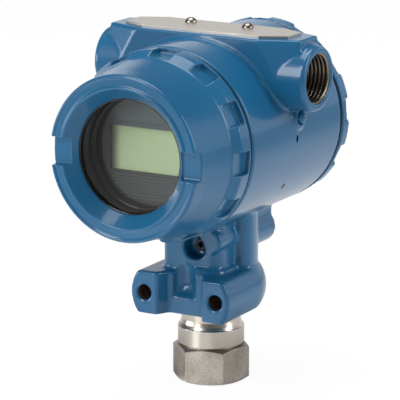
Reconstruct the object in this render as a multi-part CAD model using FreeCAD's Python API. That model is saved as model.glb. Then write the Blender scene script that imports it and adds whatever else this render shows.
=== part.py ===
import FreeCAD
import Part
import math
import os

# Field pressure transmitter. Millimetres, +Z up. The origin is the centre of the bottom face of the
# process connection, the barrel axis runs along Y, and the display looks along -Y.

V = FreeCAD.Vector

# ---- process end: hexagon, collar and stem, all turned on the Z axis ----
HEX_FLATS = 28.6
HEX_HEIGHT = 14.9
HEX_CORNER_DEG = 48.4           # direction of one corner, from -Y towards +X
HEX_CHAMFER_DEG = 25.0
PORT_R = 10.3                   # mouth of the 1/2-14 NPT female thread
PORT_DEPTH = 17.0
PRESSURE_HOLE_R = 2.0
GROOVE_R = 12.4
GROOVE_GAP = 1.1                # open groove between hexagon and collar
COLLAR_R = 14.1
COLLAR_HEIGHT = 7.5
COLLAR_CHAMFER = 0.3
SPIGOT_HEIGHT = 6.0             # how far the connection reaches up inside the collar
SHOULDER_R = 12.6
SHOULDER_HEIGHT = 3.5
SHOULDER_FLARE = 0.5            # how far its foot stands out, and its top edge slopes
SHOULDER_FOOT = 1.2
STEM_R = 9.0                    # the stem inside the housing
STEM_TOP_Z = 67.0
STEM_WALL = 2.0
STEM_CLEARANCE = 0.08           # running fit of the stem in the housing
DIAPHRAGM_R = 8.6
DIAPHRAGM_T = 0.4
DIAPHRAGM_STEPS = 4
DIAPHRAGM_SAG = 0.25
DIAPHRAGM_GAP = 0.6
CELL_R = 5.5
CELL_HEIGHT = 9.0
CELL_FLOOR = 3.0                # steel between the diaphragm chamber and the cell
FILL_TUBE_R = 1.0
FILL_TUBE_LENGTH = 6.0
HEADER_T = 2.5
HEADER_PIN_COUNT = 8
HEADER_PIN_CIRCLE_R = 5.0
HEADER_PIN_R = 0.4
HEADER_PIN_REACH = 2.0
SENSOR_BOARD_T = 1.6
SENSOR_BOARD_GAP = 12.0
CHIP_HALF = (3.0, 2.5)
CHIP_T = 1.2

# ---- barrel of the housing, turned on the Y axis ----
AXIS_Z = 108.4
BARREL_R = 39.6
BARREL_FRONT_Y = -35.2
BARREL_REAR_Y = 42.0
BARREL_CHAMFER = 0.5
THREAD_WALL = 3.6               # wall left outside the cover threads
THREAD_R = BARREL_R - THREAD_WALL   # bore that takes a cover's threaded skirt
CAVITY_STEP = 3.0
CAVITY_R = THREAD_R - CAVITY_STEP
BULKHEAD_FRONT_Y = -15.0
BULKHEAD_T = 4.0
THREAD_CLEARANCE = 0.35
SKIRT_WALL = 3.5
SKIRT_LENGTH = 12.0
THREAD_RUNOUT = 1.6
COVER_GAP = 1.6                 # space for the O-ring between a cover and the barrel

# ---- conduit block and name plate on top ----
CONDUIT_Y = 1.0
PAD_RISE = 2.0                  # how far the pad stands above the barrel
PAD_Z = AXIS_Z + BARREL_R + PAD_RISE
CONDUIT_DROP = 16.4
CONDUIT_Z = PAD_Z - CONDUIT_DROP
CONDUIT_REACH = 10.3            # how far a conduit face stands out from the barrel
CONDUIT_FACE_X = BARREL_R + CONDUIT_REACH
CONDUIT_R = 10.3                # mouth of a 1/2-14 NPT female thread
CONDUIT_DEPTH = 21.0
CONDUIT_THROAT_R = 8.6
CONDUIT_CHAMFER = 0.3
BOSS_R = 13.6
BOSS_ROUND = 1.1
PAD_HALF_LENGTH = 45.4
PAD_HALF_FRONT = 28.8           # half of the straight front edge at the top
PAD_SPREAD = 9.2                # how far that edge grows down to the conduit axis
PAD_SIDE_SLOPE = 0.373
PAD_ROOT_HALF = 24.5            # the block's root, sunk in the barrel
PLATE_T = 1.0
PLATE_HALF_LENGTH = 38.6
PLATE_HALF_DEPTH = 10.8
PLATE_HALF_FRONT = 27.6
PLATE_HALF_END = 5.6
PLATE_SCREW_X = 13.6
PLATE_SCREW_Y = 6.6
PLATE_SCREW_R = 2.7
PLATE_SCREW_HEAD = 1.9
PLATE_SCREW_SHANK_R = 1.2
PLATE_SCREW_LENGTH = 6.0

# ---- neck and bracket block below the barrel ----
NECK_R = 19.9
NECK_HALF_WIDTH = 14.0
NECK_FRONT_Y = -18.5
NECK_CORNER_R = 5.0
PLINTH_STEP = 1.6
PLINTH_HEIGHT = 1.9
PLINTH_START_X = 1.0            # the plinth runs from here to the right only
BLOCK_BOTTOM_Z = 31.8
BLOCK_TOP_Z = 50.2
BLOCK_HALF_WIDTH = 23.4
BLOCK_EDGE_HALF_WIDTH = 20.2
BLOCK_FRONT_Y = -27.0
BLOCK_EDGE_ROUND = 0.8
CENTRE_RECESS = 6.0
CENTRE_HALF_MOUTH = 11.0
CENTRE_HALF_FLOOR = 8.0
SCOOP_X = -1.2
SCOOP_R = 5.7
SCOOP_DEPTH = 4.2
SCOOP_BOTTOM_Z = 39.0
BRACKET_HOLE_X = 17.0
BRACKET_HOLE_Z = 41.0
BRACKET_HOLE_R = 3.175          # 1/4-20 UNC
BRACKET_HOLE_DEPTH = 12.0
BRACKET_HOLE_CHAMFER = 0.5
LOCK_X = 2.6
LOCK_Z = 61.0
LOCK_BORE_R = 5.2
LOCK_BORE_DEPTH = 7.0
LOCK_SCREW_R = 2.5
LOCK_SCREW_LENGTH = 4.0
LOCK_SOCKET_R = 1.35
LOCK_SOCKET_DEPTH = 1.8
LOCK_CLEARANCE = 0.05
BAR_R = 5.0                     # round boss beside the lock screw, running back into the neck
BAR_X = 10.5
BAR_Z = 64.4
BAR_FRONT_Y = -19.3
REAR_BAR_R = 7.0                # the same boss, larger, behind the neck and under the barrel
REAR_BAR_X = 9.2
REAR_BAR_Z = 61.9
REAR_BAR_END_Y = 27.6
REAR_BAR_WEB = 10.0
WIRE_WAY_R = 3.0
WIRE_WAY_FOOT = 7.5             # start of the wire way in front of the stem's axis
WIRE_WAY_RISE = 4.1             # its end, above the floor of the front chamber
WIRE_WAY_LEAD = 5.0             # its end, in front of the bulkhead
WIRE_WAY_START = V(0, -WIRE_WAY_FOOT, STEM_TOP_Z - 1.0)
WIRE_WAY_END = V(0, BULKHEAD_FRONT_Y - WIRE_WAY_LEAD, AXIS_Z - CAVITY_R + WIRE_WAY_RISE)
RIBBON_WIDTH = 4.0
RIBBON_T = 0.6
RIBBON_START = 3.0              # how far the ribbon stays inside each end of its way
SIDE_BOSS_R = 4.6
SIDE_BOSS_Y = 4.0
SIDE_BOSS_Z = AXIS_Z + 7.8
SIDE_BOSS_FACE_X = BARREL_R + 1.0
SIDE_SCREW_HEAD_R = 2.4
SIDE_SCREW_HEAD_T = 1.3
SIDE_SCREW_RECESS_R = 3.1
SIDE_SCREW_RECESS_DEPTH = 2.3
SIDE_SCREW_SHANK_R = 1.5
SIDE_SCREW_LENGTH = 5.0
SLOT_MARK = (2.9, 1.1)          # two small slots left by the casting tool on the right side
SLOT_MARK_DEPTH = 1.5
SLOT_MARK_Y = 2.2
UPPER_SLOT_DEG = 1.6
LOWER_SLOT_DEG = 33.4

# ---- display cover ----
RING_FRONT_Y = -71.3
FLANGE_PROUD = 0.1
FLANGE_R = BARREL_R + FLANGE_PROUD
BODY_REAR_R = FLANGE_R - 2.8
RING_R = BODY_REAR_R - 2.8
RING_WIDTH = 5.8
RING_INNER_R = RING_R - RING_WIDTH
RING_ROUND = 1.1
BAND_OUTER_R = RING_R - 1.3     # recessed band in the ring face
BAND_INNER_R = RING_INNER_R + 0.8
BAND_DEPTH = 0.6
RING_SIDE = (0.5, 7.0)          # how far the side widens, and over what length
BODY_STEP = (1.0, 6.5)          # the same for the last part before the lugs
NOTCH_WIDTH = 11.6
NOTCH_DEPTH = 4.0
NOTCH_INNER_R = RING_INNER_R - 2.7
WINDOW_STEP = 4.7
WINDOW_R = RING_INNER_R - WINDOW_STEP
RECESS_DEPTH = 5.6
WINDOW_LIP = 0.7
FLANGE_LAND = 7.0
FLANGE_BEVEL = 4.4
FLANGE_CHAMFER = 0.5
LUG_COUNT = 12
POCKET_WIDTH = 9.6
POCKET_DEPTH = 2.5
POCKET_FLOOR_R = FLANGE_R - POCKET_DEPTH
POCKET_RIM = 1.6
FRONT_POCKET_DEG = 25.8
REAR_POCKET_DEG = 4.2
GLASS_SEAT = 2.8
GLASS_R = WINDOW_R + GLASS_SEAT
GLASS_T = 7.0
GASKET_T = 0.7
RETAINER_T = 3.4
RETAINER_INNER_R = GLASS_R - 2.0

# ---- terminal cover ----
REAR_COVER_T = 6.8
REAR_BEVEL = 1.2
REAR_RIM_R = FLANGE_R - 6.2
REAR_DISH_R = REAR_RIM_R - 3.5
REAR_DISH_DEPTH = 2.2
REAR_POCKET_RIM = 1.4
REAR_PLUG_T = 3.0

# ---- O-rings ----
ORING_INNER_R = THREAD_R + 0.5
ORING_OUTER_R = BARREL_R - 0.6
ORING_SEAT = 0.05

# ---- electronics and display ----
CUP_FIT = 1.4
CUP_R = CAVITY_R - CUP_FIT
CUP_LENGTH = 18.0
CUP_WALL = 1.8
BOARD_R = CUP_R - 2.2
BOARD_T = 1.6
POTTING_T = 9.0
# X and Z of the middle, width, height and thickness of each part on the board
BOARD_PARTS = ((-11, 8, 7, 8, 1.4), (8, 10, 9, 5, 1.8), (-9, -11, 7, 5, 2.2), (8, -11, 9, 4, 2.6))
DISPLAY_FACE_Y = -53.0
DISPLAY_R = WINDOW_R + 0.4
DISPLAY_T = 9.5
DISPLAY_BOARD_R = DISPLAY_R - 1.6
BEZEL_EDGE = 0.6
LCD_WIDTH = 34.6
LCD_HEIGHT = 18.6
LCD_T = 2.2
LCD_SINK = 1.8
LCD_FIT = 0.15
LINE_COUNT = 2
LINE_GAP = 1.0
LINE_WIDTH = 0.5
LINE_DEPTH = 0.4
RIB_COUNT = 8
RIB_START = 1.0
RIB_PITCH = 1.3
RIB_WIDTH = 0.7
RIB_HEIGHT = 0.4
SPACER_WALL = 1.6
SPACER_WINDOW = 16.0
SPACER_RIM = 2.0
PIN_BLOCK = (10.0, 5.0)

# ---- terminal side ----
TERMINAL_R = CAVITY_R - 2.0
TERMINAL_T = 15.0
TERMINAL_TOP = 11.5             # flat top, above the barrel axis
TERMINAL_WELL_DEPTH = 5.0
TERMINAL_WELL = (9.0, 13.0)
TERMINAL_PITCH = 11.5
TERMINAL_DROP = 4.0             # the screws, below the barrel axis
TERMINAL_COUNT = 3
TERMINAL_SCREW_R = 3.3
TERMINAL_SCREW_HEAD_T = 2.6
TERMINAL_SCREW_SHANK_R = 1.9
TERMINAL_SCREW_LENGTH = 9.0
SLOT_WIDTH = 0.9
SLOT_DEPTH = 1.0
GROUND_SCREW_X = CAVITY_R - 13.0
GROUND_SCREW_DROP = CAVITY_R - 15.5
FEED_R = 3.6
FEED_DROP = 10.4
FEED_Z = AXIS_Z - FEED_DROP
FEED_PIN_R = 0.6
FEED_PIN_COUNT = 4
FEED_PIN_CIRCLE_R = 1.8
FEED_PIN_REACH = 2.0
FEED_PIN_LENGTH = 3.0

TAU = 360.0
EPS = 0.5                       # how far a cutting tool reaches past the face that it opens
X = V(1, 0, 0)
Y = V(0, 1, 0)
Z = V(0, 0, 1)


def rod(radius, start, end):
    """A round bar between two points."""
    way = end - start
    return Part.makeCylinder(radius, way.Length, start, way)


def block(x0, x1, y0, y1, z0, z1):
    """A box between two corners."""
    return Part.makeBox(x1 - x0, y1 - y0, z1 - z0, V(x0, y0, z0))


def face(points):
    """A flat face inside a closed outline of straight edges."""
    return Part.Face(Part.makePolygon(points + points[:1]))


def turned_y(profile):
    """Turn an outline of (radius, y) points about the barrel axis."""
    points = [V(r, y, AXIS_Z) for r, y in profile]
    return face(points).revolve(V(0, 0, AXIS_Z), Y, TAU)


def turned_z(profile):
    """Turn an outline of (radius, z) points about the Z axis."""
    return face([V(r, 0, z) for r, z in profile]).revolve(V(0, 0, 0), Z, TAU)


def on_axis(y):
    """The point of the barrel axis at one y."""
    return V(0, y, AXIS_Z)


def tube_y(outer, inner, y0, y1):
    """A tube about the barrel axis."""
    return rod(outer, on_axis(y0), on_axis(y1)).cut(rod(inner, on_axis(y0 - EPS), on_axis(y1 + EPS)))


def octagon(half_front, half_length, y_front, y_side, z):
    """A long octagon, symmetric about the conduit plane and about X = 0."""
    rear = 2 * CONDUIT_Y
    points = [(-half_front, y_front), (half_front, y_front), (half_length, y_side),
              (half_length, rear - y_side), (half_front, rear - y_front),
              (-half_front, rear - y_front), (-half_length, rear - y_side), (-half_length, y_side)]
    return [V(x, y, z) for x, y in points]


def save(name, shape):
    """Write one node, as one solid or as a group of separate solids."""
    shape = shape.removeSplitter()
    if not shape.isValid():
        raise ValueError(name + " is not a valid shape")
    if len(shape.Solids) == 1:
        shape = shape.Solids[0]
    shape.exportStep("parts/" + name + ".step")
    print(name, len(shape.Solids), round(shape.Volume))


# ---------------------------------------------------------------- process end
COLLAR_BOTTOM_Z = HEX_HEIGHT + GROOVE_GAP
COLLAR_TOP_Z = COLLAR_BOTTOM_Z + COLLAR_HEIGHT
SPIGOT_TOP_Z = COLLAR_BOTTOM_Z + SPIGOT_HEIGHT
SHOULDER_TOP_Z = COLLAR_TOP_Z + SHOULDER_HEIGHT
CHAMBER_TOP_Z = SPIGOT_TOP_Z + DIAPHRAGM_GAP + DIAPHRAGM_T
CELL_BOTTOM_Z = CHAMBER_TOP_Z + CELL_FLOOR
STEM_BORE_R = STEM_R - STEM_WALL
HEADER_BOTTOM_Z = STEM_TOP_Z - HEADER_T
SENSOR_BOARD_Z = HEADER_BOTTOM_Z - SENSOR_BOARD_GAP


def process_connection():
    """Hexagon with chamfered corners, spigot, threaded port and pressure hole."""
    corner_r = HEX_FLATS / math.sqrt(3)
    corners = []
    for i in range(6):
        a = math.radians(HEX_CORNER_DEG + 60 * i)
        corners.append(V(corner_r * math.sin(a), -corner_r * math.cos(a), 0))
    prism = face(corners).extrude(V(0, 0, HEX_HEIGHT))
    drop = (corner_r - HEX_FLATS / 2) * math.tan(math.radians(HEX_CHAMFER_DEG))
    flat_r = HEX_FLATS / 2
    envelope = turned_z([(0, 0), (flat_r, 0), (corner_r, drop), (corner_r, HEX_HEIGHT - drop),
                         (flat_r, HEX_HEIGHT), (0, HEX_HEIGHT)])
    body = prism.common(envelope)
    body = body.fuse(rod(GROOVE_R, V(0, 0, HEX_HEIGHT / 2), V(0, 0, SPIGOT_TOP_Z)))
    bore = turned_z([(0, -EPS), (PORT_R, -EPS),
                     (PORT_R, PORT_DEPTH - PORT_R / 4), (PRESSURE_HOLE_R, PORT_DEPTH), (0, PORT_DEPTH)])
    hole = rod(PRESSURE_HOLE_R, V(0, 0, PORT_DEPTH - EPS), V(0, 0, SPIGOT_TOP_Z + EPS))
    return body.cut(bore).cut(hole)


def sensor_module():
    """Collar, polished shoulder and stem, hollow above the diaphragm chamber."""
    body = turned_z([(0, SPIGOT_TOP_Z), (GROOVE_R, SPIGOT_TOP_Z), (GROOVE_R, COLLAR_BOTTOM_Z),
                     (COLLAR_R, COLLAR_BOTTOM_Z), (COLLAR_R, COLLAR_TOP_Z - COLLAR_CHAMFER),
                     (COLLAR_R - COLLAR_CHAMFER, COLLAR_TOP_Z),
                     (SHOULDER_R + SHOULDER_FLARE, COLLAR_TOP_Z + SHOULDER_FOOT),
                     (SHOULDER_R, SHOULDER_TOP_Z - SHOULDER_FLARE), (SHOULDER_R, BLOCK_BOTTOM_Z),
                     (STEM_R, BLOCK_BOTTOM_Z), (STEM_R, STEM_TOP_Z), (0, STEM_TOP_Z)])
    chamber = rod(DIAPHRAGM_R, V(0, 0, SPIGOT_TOP_Z - EPS), V(0, 0, CHAMBER_TOP_Z))
    bore = rod(STEM_BORE_R, V(0, 0, CELL_BOTTOM_Z), V(0, 0, STEM_TOP_Z + EPS))
    way = rod(FILL_TUBE_R, V(0, 0, CHAMBER_TOP_Z - EPS), V(0, 0, CELL_BOTTOM_Z + EPS))
    return body.cut(chamber).cut(bore).cut(way)


def isolating_diaphragm():
    """Thin corrugated disc, welded at its rim to the ceiling of the chamber."""
    top = CHAMBER_TOP_Z
    wave = [(0, top - DIAPHRAGM_T)]
    for i in range(1, DIAPHRAGM_STEPS):
        r = DIAPHRAGM_R * i / DIAPHRAGM_STEPS
        sag = DIAPHRAGM_SAG if i % 2 else 0.0
        wave.append((r, top - DIAPHRAGM_T - sag))
    wave += [(DIAPHRAGM_R, top - DIAPHRAGM_T), (DIAPHRAGM_R, top), (0, top)]
    return turned_z(wave)


def pressure_sensor():
    """Sensor cell with its fill tube."""
    cell = rod(CELL_R, V(0, 0, CELL_BOTTOM_Z), V(0, 0, CELL_BOTTOM_Z + CELL_HEIGHT))
    tube_top = CELL_BOTTOM_Z + CELL_HEIGHT + FILL_TUBE_LENGTH
    return cell.fuse(rod(FILL_TUBE_R, V(0, 0, CELL_BOTTOM_Z + CELL_HEIGHT - EPS), V(0, 0, tube_top)))


def sensor_board():
    """Round board across the stem, carried on the step of its bore."""
    disc = rod(STEM_BORE_R, V(0, 0, SENSOR_BOARD_Z), V(0, 0, SENSOR_BOARD_Z + SENSOR_BOARD_T))
    x, y = CHIP_HALF
    top = SENSOR_BOARD_Z + SENSOR_BOARD_T
    chip = block(-x, x, -y, y, top, top + CHIP_T)
    return disc.fuse(chip)


def sensor_header():
    """Glass-sealed plug that closes the stem, with its pins."""
    body = rod(STEM_BORE_R, V(0, 0, HEADER_BOTTOM_Z), V(0, 0, STEM_TOP_Z))
    for i in range(HEADER_PIN_COUNT):
        a = math.radians(TAU * i / HEADER_PIN_COUNT)
        foot = V(HEADER_PIN_CIRCLE_R * math.cos(a), HEADER_PIN_CIRCLE_R * math.sin(a),
                 HEADER_BOTTOM_Z - HEADER_PIN_REACH)
        body = body.fuse(rod(HEADER_PIN_R, foot, foot + V(0, 0, HEADER_T + HEADER_PIN_REACH)))
    return body


# ---------------------------------------------------------------- housing
BULKHEAD_REAR_Y = BULKHEAD_FRONT_Y + BULKHEAD_T
THREAD_DEPTH = SKIRT_LENGTH - COVER_GAP + THREAD_RUNOUT
SKIRT_R = THREAD_R - THREAD_CLEARANCE
NECK_BORE_R = STEM_R + STEM_CLEARANCE
COVER_BORE_R = SKIRT_R - SKIRT_WALL
BORE_TOP_Z = STEM_TOP_Z + 1.0


def conduit_block():
    """Pad for the name plate, growing down to the two conduit bosses."""
    front = CONDUIT_Y - BOSS_R
    side = (PAD_HALF_LENGTH - PAD_HALF_FRONT) * PAD_SIDE_SLOPE
    low_half = PAD_HALF_FRONT + PAD_SPREAD
    low_side = (PAD_HALF_LENGTH - low_half) * PAD_SIDE_SLOPE
    top = face(octagon(PAD_HALF_FRONT, PAD_HALF_LENGTH, front, front + side, PAD_Z)).OuterWire
    low = face(octagon(low_half, PAD_HALF_LENGTH, front, front + low_side, CONDUIT_Z)).OuterWire
    pad = Part.makeLoft([low, top], True, True)
    root = face(octagon(PAD_ROOT_HALF, PAD_ROOT_HALF, front, CONDUIT_Y, CONDUIT_Z))
    pad = pad.fuse(root.extrude(V(0, 0, AXIS_Z - CONDUIT_Z)))
    bosses = rod(BOSS_R, V(-CONDUIT_FACE_X, CONDUIT_Y, CONDUIT_Z), V(CONDUIT_FACE_X, CONDUIT_Y, CONDUIT_Z))
    rims = [e for e in bosses.Edges if e.Length > 6 * BOSS_R]
    bosses = bosses.makeFillet(BOSS_ROUND, rims)
    return pad.fuse(bosses)


def block_profile(y, half):
    """Outline of the bracket block in the XZ plane: flat top and bottom, bulging side."""
    middle_z = (BLOCK_BOTTOM_Z + BLOCK_TOP_Z) / 2
    edge = BLOCK_EDGE_HALF_WIDTH
    right = Part.Arc(V(edge, y, BLOCK_BOTTOM_Z), V(BLOCK_HALF_WIDTH, y, middle_z), V(edge, y, BLOCK_TOP_Z))
    if half:
        lines = [Part.makeLine(V(edge, y, BLOCK_TOP_Z), V(0, y, BLOCK_TOP_Z)),
                 Part.makeLine(V(0, y, BLOCK_TOP_Z), V(0, y, BLOCK_BOTTOM_Z)),
                 Part.makeLine(V(0, y, BLOCK_BOTTOM_Z), V(edge, y, BLOCK_BOTTOM_Z))]
        return Part.Face(Part.Wire([right.toShape()] + lines))
    left = Part.Arc(V(-edge, y, BLOCK_TOP_Z), V(-BLOCK_HALF_WIDTH, y, middle_z), V(-edge, y, BLOCK_BOTTOM_Z))
    top = Part.makeLine(V(edge, y, BLOCK_TOP_Z), V(-edge, y, BLOCK_TOP_Z))
    bottom = Part.makeLine(V(-edge, y, BLOCK_BOTTOM_Z), V(edge, y, BLOCK_BOTTOM_Z))
    return Part.Face(Part.Wire([right.toShape(), top, left.toShape(), bottom]))


def bracket_block():
    """Block with two flat pads in front, a recess between them and a round back."""
    bar = block_profile(BLOCK_FRONT_Y, False).extrude(V(0, -BLOCK_FRONT_Y, 0))
    rims = [e for e in bar.Edges if abs(e.CenterOfMass.y - BLOCK_FRONT_Y) < 0.01]
    bar = bar.makeFillet(BLOCK_EDGE_ROUND, rims)
    back = block_profile(0, True).revolve(V(0, 0, 0), Z, TAU / 2)
    body = bar.fuse(back)
    floor_y = BLOCK_FRONT_Y + CENTRE_RECESS
    slope = (CENTRE_HALF_MOUTH - CENTRE_HALF_FLOOR) / CENTRE_RECESS
    mouth = CENTRE_HALF_MOUTH + EPS * slope
    y_mouth = BLOCK_FRONT_Y - EPS
    z_low = BLOCK_BOTTOM_Z - EPS
    recess = face([V(-mouth, y_mouth, z_low), V(mouth, y_mouth, z_low),
                   V(CENTRE_HALF_FLOOR, floor_y, z_low), V(-CENTRE_HALF_FLOOR, floor_y, z_low)])
    body = body.cut(recess.extrude(V(0, 0, BLOCK_TOP_Z - BLOCK_BOTTOM_Z + 2 * EPS)))
    scoop_y = floor_y + SCOOP_DEPTH - SCOOP_R
    scoop = rod(SCOOP_R, V(SCOOP_X, scoop_y, SCOOP_BOTTOM_Z), V(SCOOP_X, scoop_y, BLOCK_TOP_Z + EPS))
    body = body.cut(scoop)
    for side in (-1, 1):
        mouth_point = V(side * BRACKET_HOLE_X, BLOCK_FRONT_Y, BRACKET_HOLE_Z)
        body = body.cut(rod(BRACKET_HOLE_R, mouth_point - Y * EPS, mouth_point + Y * BRACKET_HOLE_DEPTH))
        wide = BRACKET_HOLE_R + BRACKET_HOLE_CHAMFER
        body = body.cut(Part.makeCone(wide, BRACKET_HOLE_R, BRACKET_HOLE_CHAMFER, mouth_point, Y))
    return body


def scoop_end():
    """Ball end of the scoop, which also cuts the plinth and the foot of the neck."""
    y = BLOCK_FRONT_Y + CENTRE_RECESS + SCOOP_DEPTH - SCOOP_R
    return Part.makeSphere(SCOOP_R, V(SCOOP_X, y, BLOCK_TOP_Z))


def rounded_column(half_width, front_y, corner_r, z0, z1):
    """Upright column, flat in front with two round corners, open to the neck behind."""
    column = block(-half_width, half_width, front_y, 0, z0, z1)
    corners = [e for e in column.Edges if abs(e.CenterOfMass.y - front_y) < 0.01
               and abs(abs(e.CenterOfMass.x) - half_width) < 0.01]
    return column.makeFillet(corner_r, corners)


def neck():
    """Round neck with a flat-fronted column, its plinth and the long boss beside it."""
    body = rod(NECK_R, V(0, 0, BLOCK_TOP_Z - EPS), V(0, 0, AXIS_Z - CAVITY_R - EPS))
    cut_half = NECK_R + EPS
    front = block(-cut_half, cut_half, -cut_half, 0, BLOCK_TOP_Z, AXIS_Z)
    body = body.cut(front)
    column_top = AXIS_Z - CAVITY_R - EPS
    column = rounded_column(NECK_HALF_WIDTH, NECK_FRONT_Y, NECK_CORNER_R, BLOCK_TOP_Z - EPS, column_top)
    body = body.fuse(column)
    plinth = rounded_column(NECK_HALF_WIDTH + PLINTH_STEP, NECK_FRONT_Y - PLINTH_STEP,
                            NECK_CORNER_R + PLINTH_STEP, BLOCK_TOP_Z - EPS, BLOCK_TOP_Z + PLINTH_HEIGHT)
    left = block(-cut_half, PLINTH_START_X, -2 * cut_half, 0, BLOCK_TOP_Z - 2 * EPS, AXIS_Z)
    body = body.fuse(plinth.cut(left))
    bar = rod(BAR_R, V(BAR_X, BAR_FRONT_Y, BAR_Z), V(BAR_X, 0, BAR_Z))
    rear = rod(REAR_BAR_R, V(REAR_BAR_X, 0, REAR_BAR_Z), V(REAR_BAR_X, REAR_BAR_END_Y, REAR_BAR_Z))
    half_web = REAR_BAR_WEB / 2
    web = block(REAR_BAR_X - half_web, REAR_BAR_X + half_web, 0, REAR_BAR_END_Y, REAR_BAR_Z, column_top)
    return body.fuse(bar).fuse(rear).fuse(web)


def housing():
    """Two-chamber casting: barrel, conduit block, neck and bracket block, then everything machined."""
    barrel = rod(BARREL_R, on_axis(BARREL_FRONT_Y), on_axis(BARREL_REAR_Y))
    barrel = barrel.makeChamfer(BARREL_CHAMFER, [e for e in barrel.Edges if e.Length > 6 * BARREL_R])
    body = barrel.fuse(conduit_block()).fuse(neck()).fuse(bracket_block())
    side = V(SIDE_BOSS_FACE_X, SIDE_BOSS_Y, SIDE_BOSS_Z)
    body = body.fuse(rod(SIDE_BOSS_R, V(BARREL_R - SIDE_BOSS_R, SIDE_BOSS_Y, SIDE_BOSS_Z), side))
    cuts = []
    cuts.append(rod(THREAD_R, on_axis(BARREL_FRONT_Y - EPS), on_axis(BARREL_FRONT_Y + THREAD_DEPTH)))
    cuts.append(rod(CAVITY_R, on_axis(BARREL_FRONT_Y), on_axis(BULKHEAD_FRONT_Y)))
    cuts.append(rod(THREAD_R, on_axis(BARREL_REAR_Y - THREAD_DEPTH), on_axis(BARREL_REAR_Y + EPS)))
    cuts.append(rod(CAVITY_R, on_axis(BULKHEAD_REAR_Y), on_axis(BARREL_REAR_Y)))
    for s in (-1, 1):
        mouth = V(s * CONDUIT_FACE_X, CONDUIT_Y, CONDUIT_Z)
        inward = X * -s
        cuts.append(rod(CONDUIT_R, mouth - inward * EPS, mouth + inward * CONDUIT_DEPTH))
        cuts.append(rod(CONDUIT_THROAT_R, mouth, mouth + inward * (CONDUIT_FACE_X - BOSS_R)))
        wide = CONDUIT_R + CONDUIT_CHAMFER
        cuts.append(Part.makeCone(wide, CONDUIT_R, CONDUIT_CHAMFER, mouth, inward))
    cuts.append(rod(NECK_BORE_R, V(0, 0, BLOCK_BOTTOM_Z - EPS), V(0, 0, BORE_TOP_Z)))
    lock = V(LOCK_X, NECK_FRONT_Y, LOCK_Z)
    cuts.append(rod(LOCK_BORE_R, lock - Y * 2 * EPS, lock + Y * LOCK_BORE_DEPTH))
    cuts.append(rod(LOCK_SCREW_R + LOCK_CLEARANCE, lock, V(LOCK_X, 0, LOCK_Z)))
    cuts.append(rod(WIRE_WAY_R, WIRE_WAY_START, WIRE_WAY_END))
    cuts.append(scoop_end())
    cuts.append(rod(FEED_R, V(0, BULKHEAD_FRONT_Y - EPS, FEED_Z), V(0, BULKHEAD_REAR_Y + EPS, FEED_Z)))
    cuts.append(rod(SIDE_SCREW_RECESS_R, side - X * SIDE_SCREW_RECESS_DEPTH, side + X * EPS))
    cuts.append(rod(SIDE_SCREW_SHANK_R, side - X * (SIDE_SCREW_RECESS_DEPTH + SIDE_SCREW_LENGTH), side))
    for s in (-1, 1):
        top = V(s * PLATE_SCREW_X, PLATE_SCREW_Y, PAD_Z)
        cuts.append(rod(PLATE_SCREW_SHANK_R, top - Z * PLATE_SCREW_LENGTH, top + Z * EPS))
    cuts += casting_slots()
    ground = ground_screw_seat()
    cuts.append(rod(TERMINAL_SCREW_SHANK_R, ground - Y * TERMINAL_SCREW_LENGTH / 3, ground + Y * EPS))
    for tool in cuts:
        body = body.cut(tool)
    return body


def casting_slots():
    """One slot round the barrel and one along it."""
    long, narrow = SLOT_MARK
    slots = []
    for degrees, y_size, z_size in ((UPPER_SLOT_DEG, narrow, long), (LOWER_SLOT_DEG, long + narrow, narrow)):
        slot = block(BARREL_R - SLOT_MARK_DEPTH, BARREL_R + EPS, SLOT_MARK_Y - y_size / 2,
                     SLOT_MARK_Y + y_size / 2, AXIS_Z - z_size / 2, AXIS_Z + z_size / 2)
        slot.rotate(on_axis(0), Y, degrees)
        slots.append(slot)
    return slots


def ground_screw_seat():
    """Where the inner ground screw meets the rear face of the bulkhead."""
    return V(GROUND_SCREW_X, BULKHEAD_REAR_Y, AXIS_Z + GROUND_SCREW_DROP)


# ---------------------------------------------------------------- covers
def lug_pockets(first_deg, floor_r, y0, y1):
    """Tools that cut the pockets between the lugs round a cover."""
    tool = block(-POCKET_WIDTH / 2, POCKET_WIDTH / 2, y0, y1, AXIS_Z + floor_r, AXIS_Z + FLANGE_R + 2)
    tools = []
    for i in range(LUG_COUNT):
        copy = tool.copy()
        angle = first_deg + TAU / LUG_COUNT * i
        copy.rotate(on_axis(0), Y, 90 - angle)
        tools.append(copy)
    return Part.makeCompound(tools)


FLANGE_REAR_Y = BARREL_FRONT_Y - COVER_GAP
FLANGE_LAND_Y = FLANGE_REAR_Y - FLANGE_LAND
BODY_REAR_Y = FLANGE_LAND_Y - FLANGE_BEVEL
LIP_Y = RING_FRONT_Y + RECESS_DEPTH
SEAT_Y = LIP_Y + WINDOW_LIP
GLASS_FRONT_Y = SEAT_Y + GASKET_T
GLASS_REAR_Y = GLASS_FRONT_Y + GLASS_T
RETAINER_REAR_Y = GLASS_REAR_Y + RETAINER_T
GASKET_R = GLASS_R + GASKET_T


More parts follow.
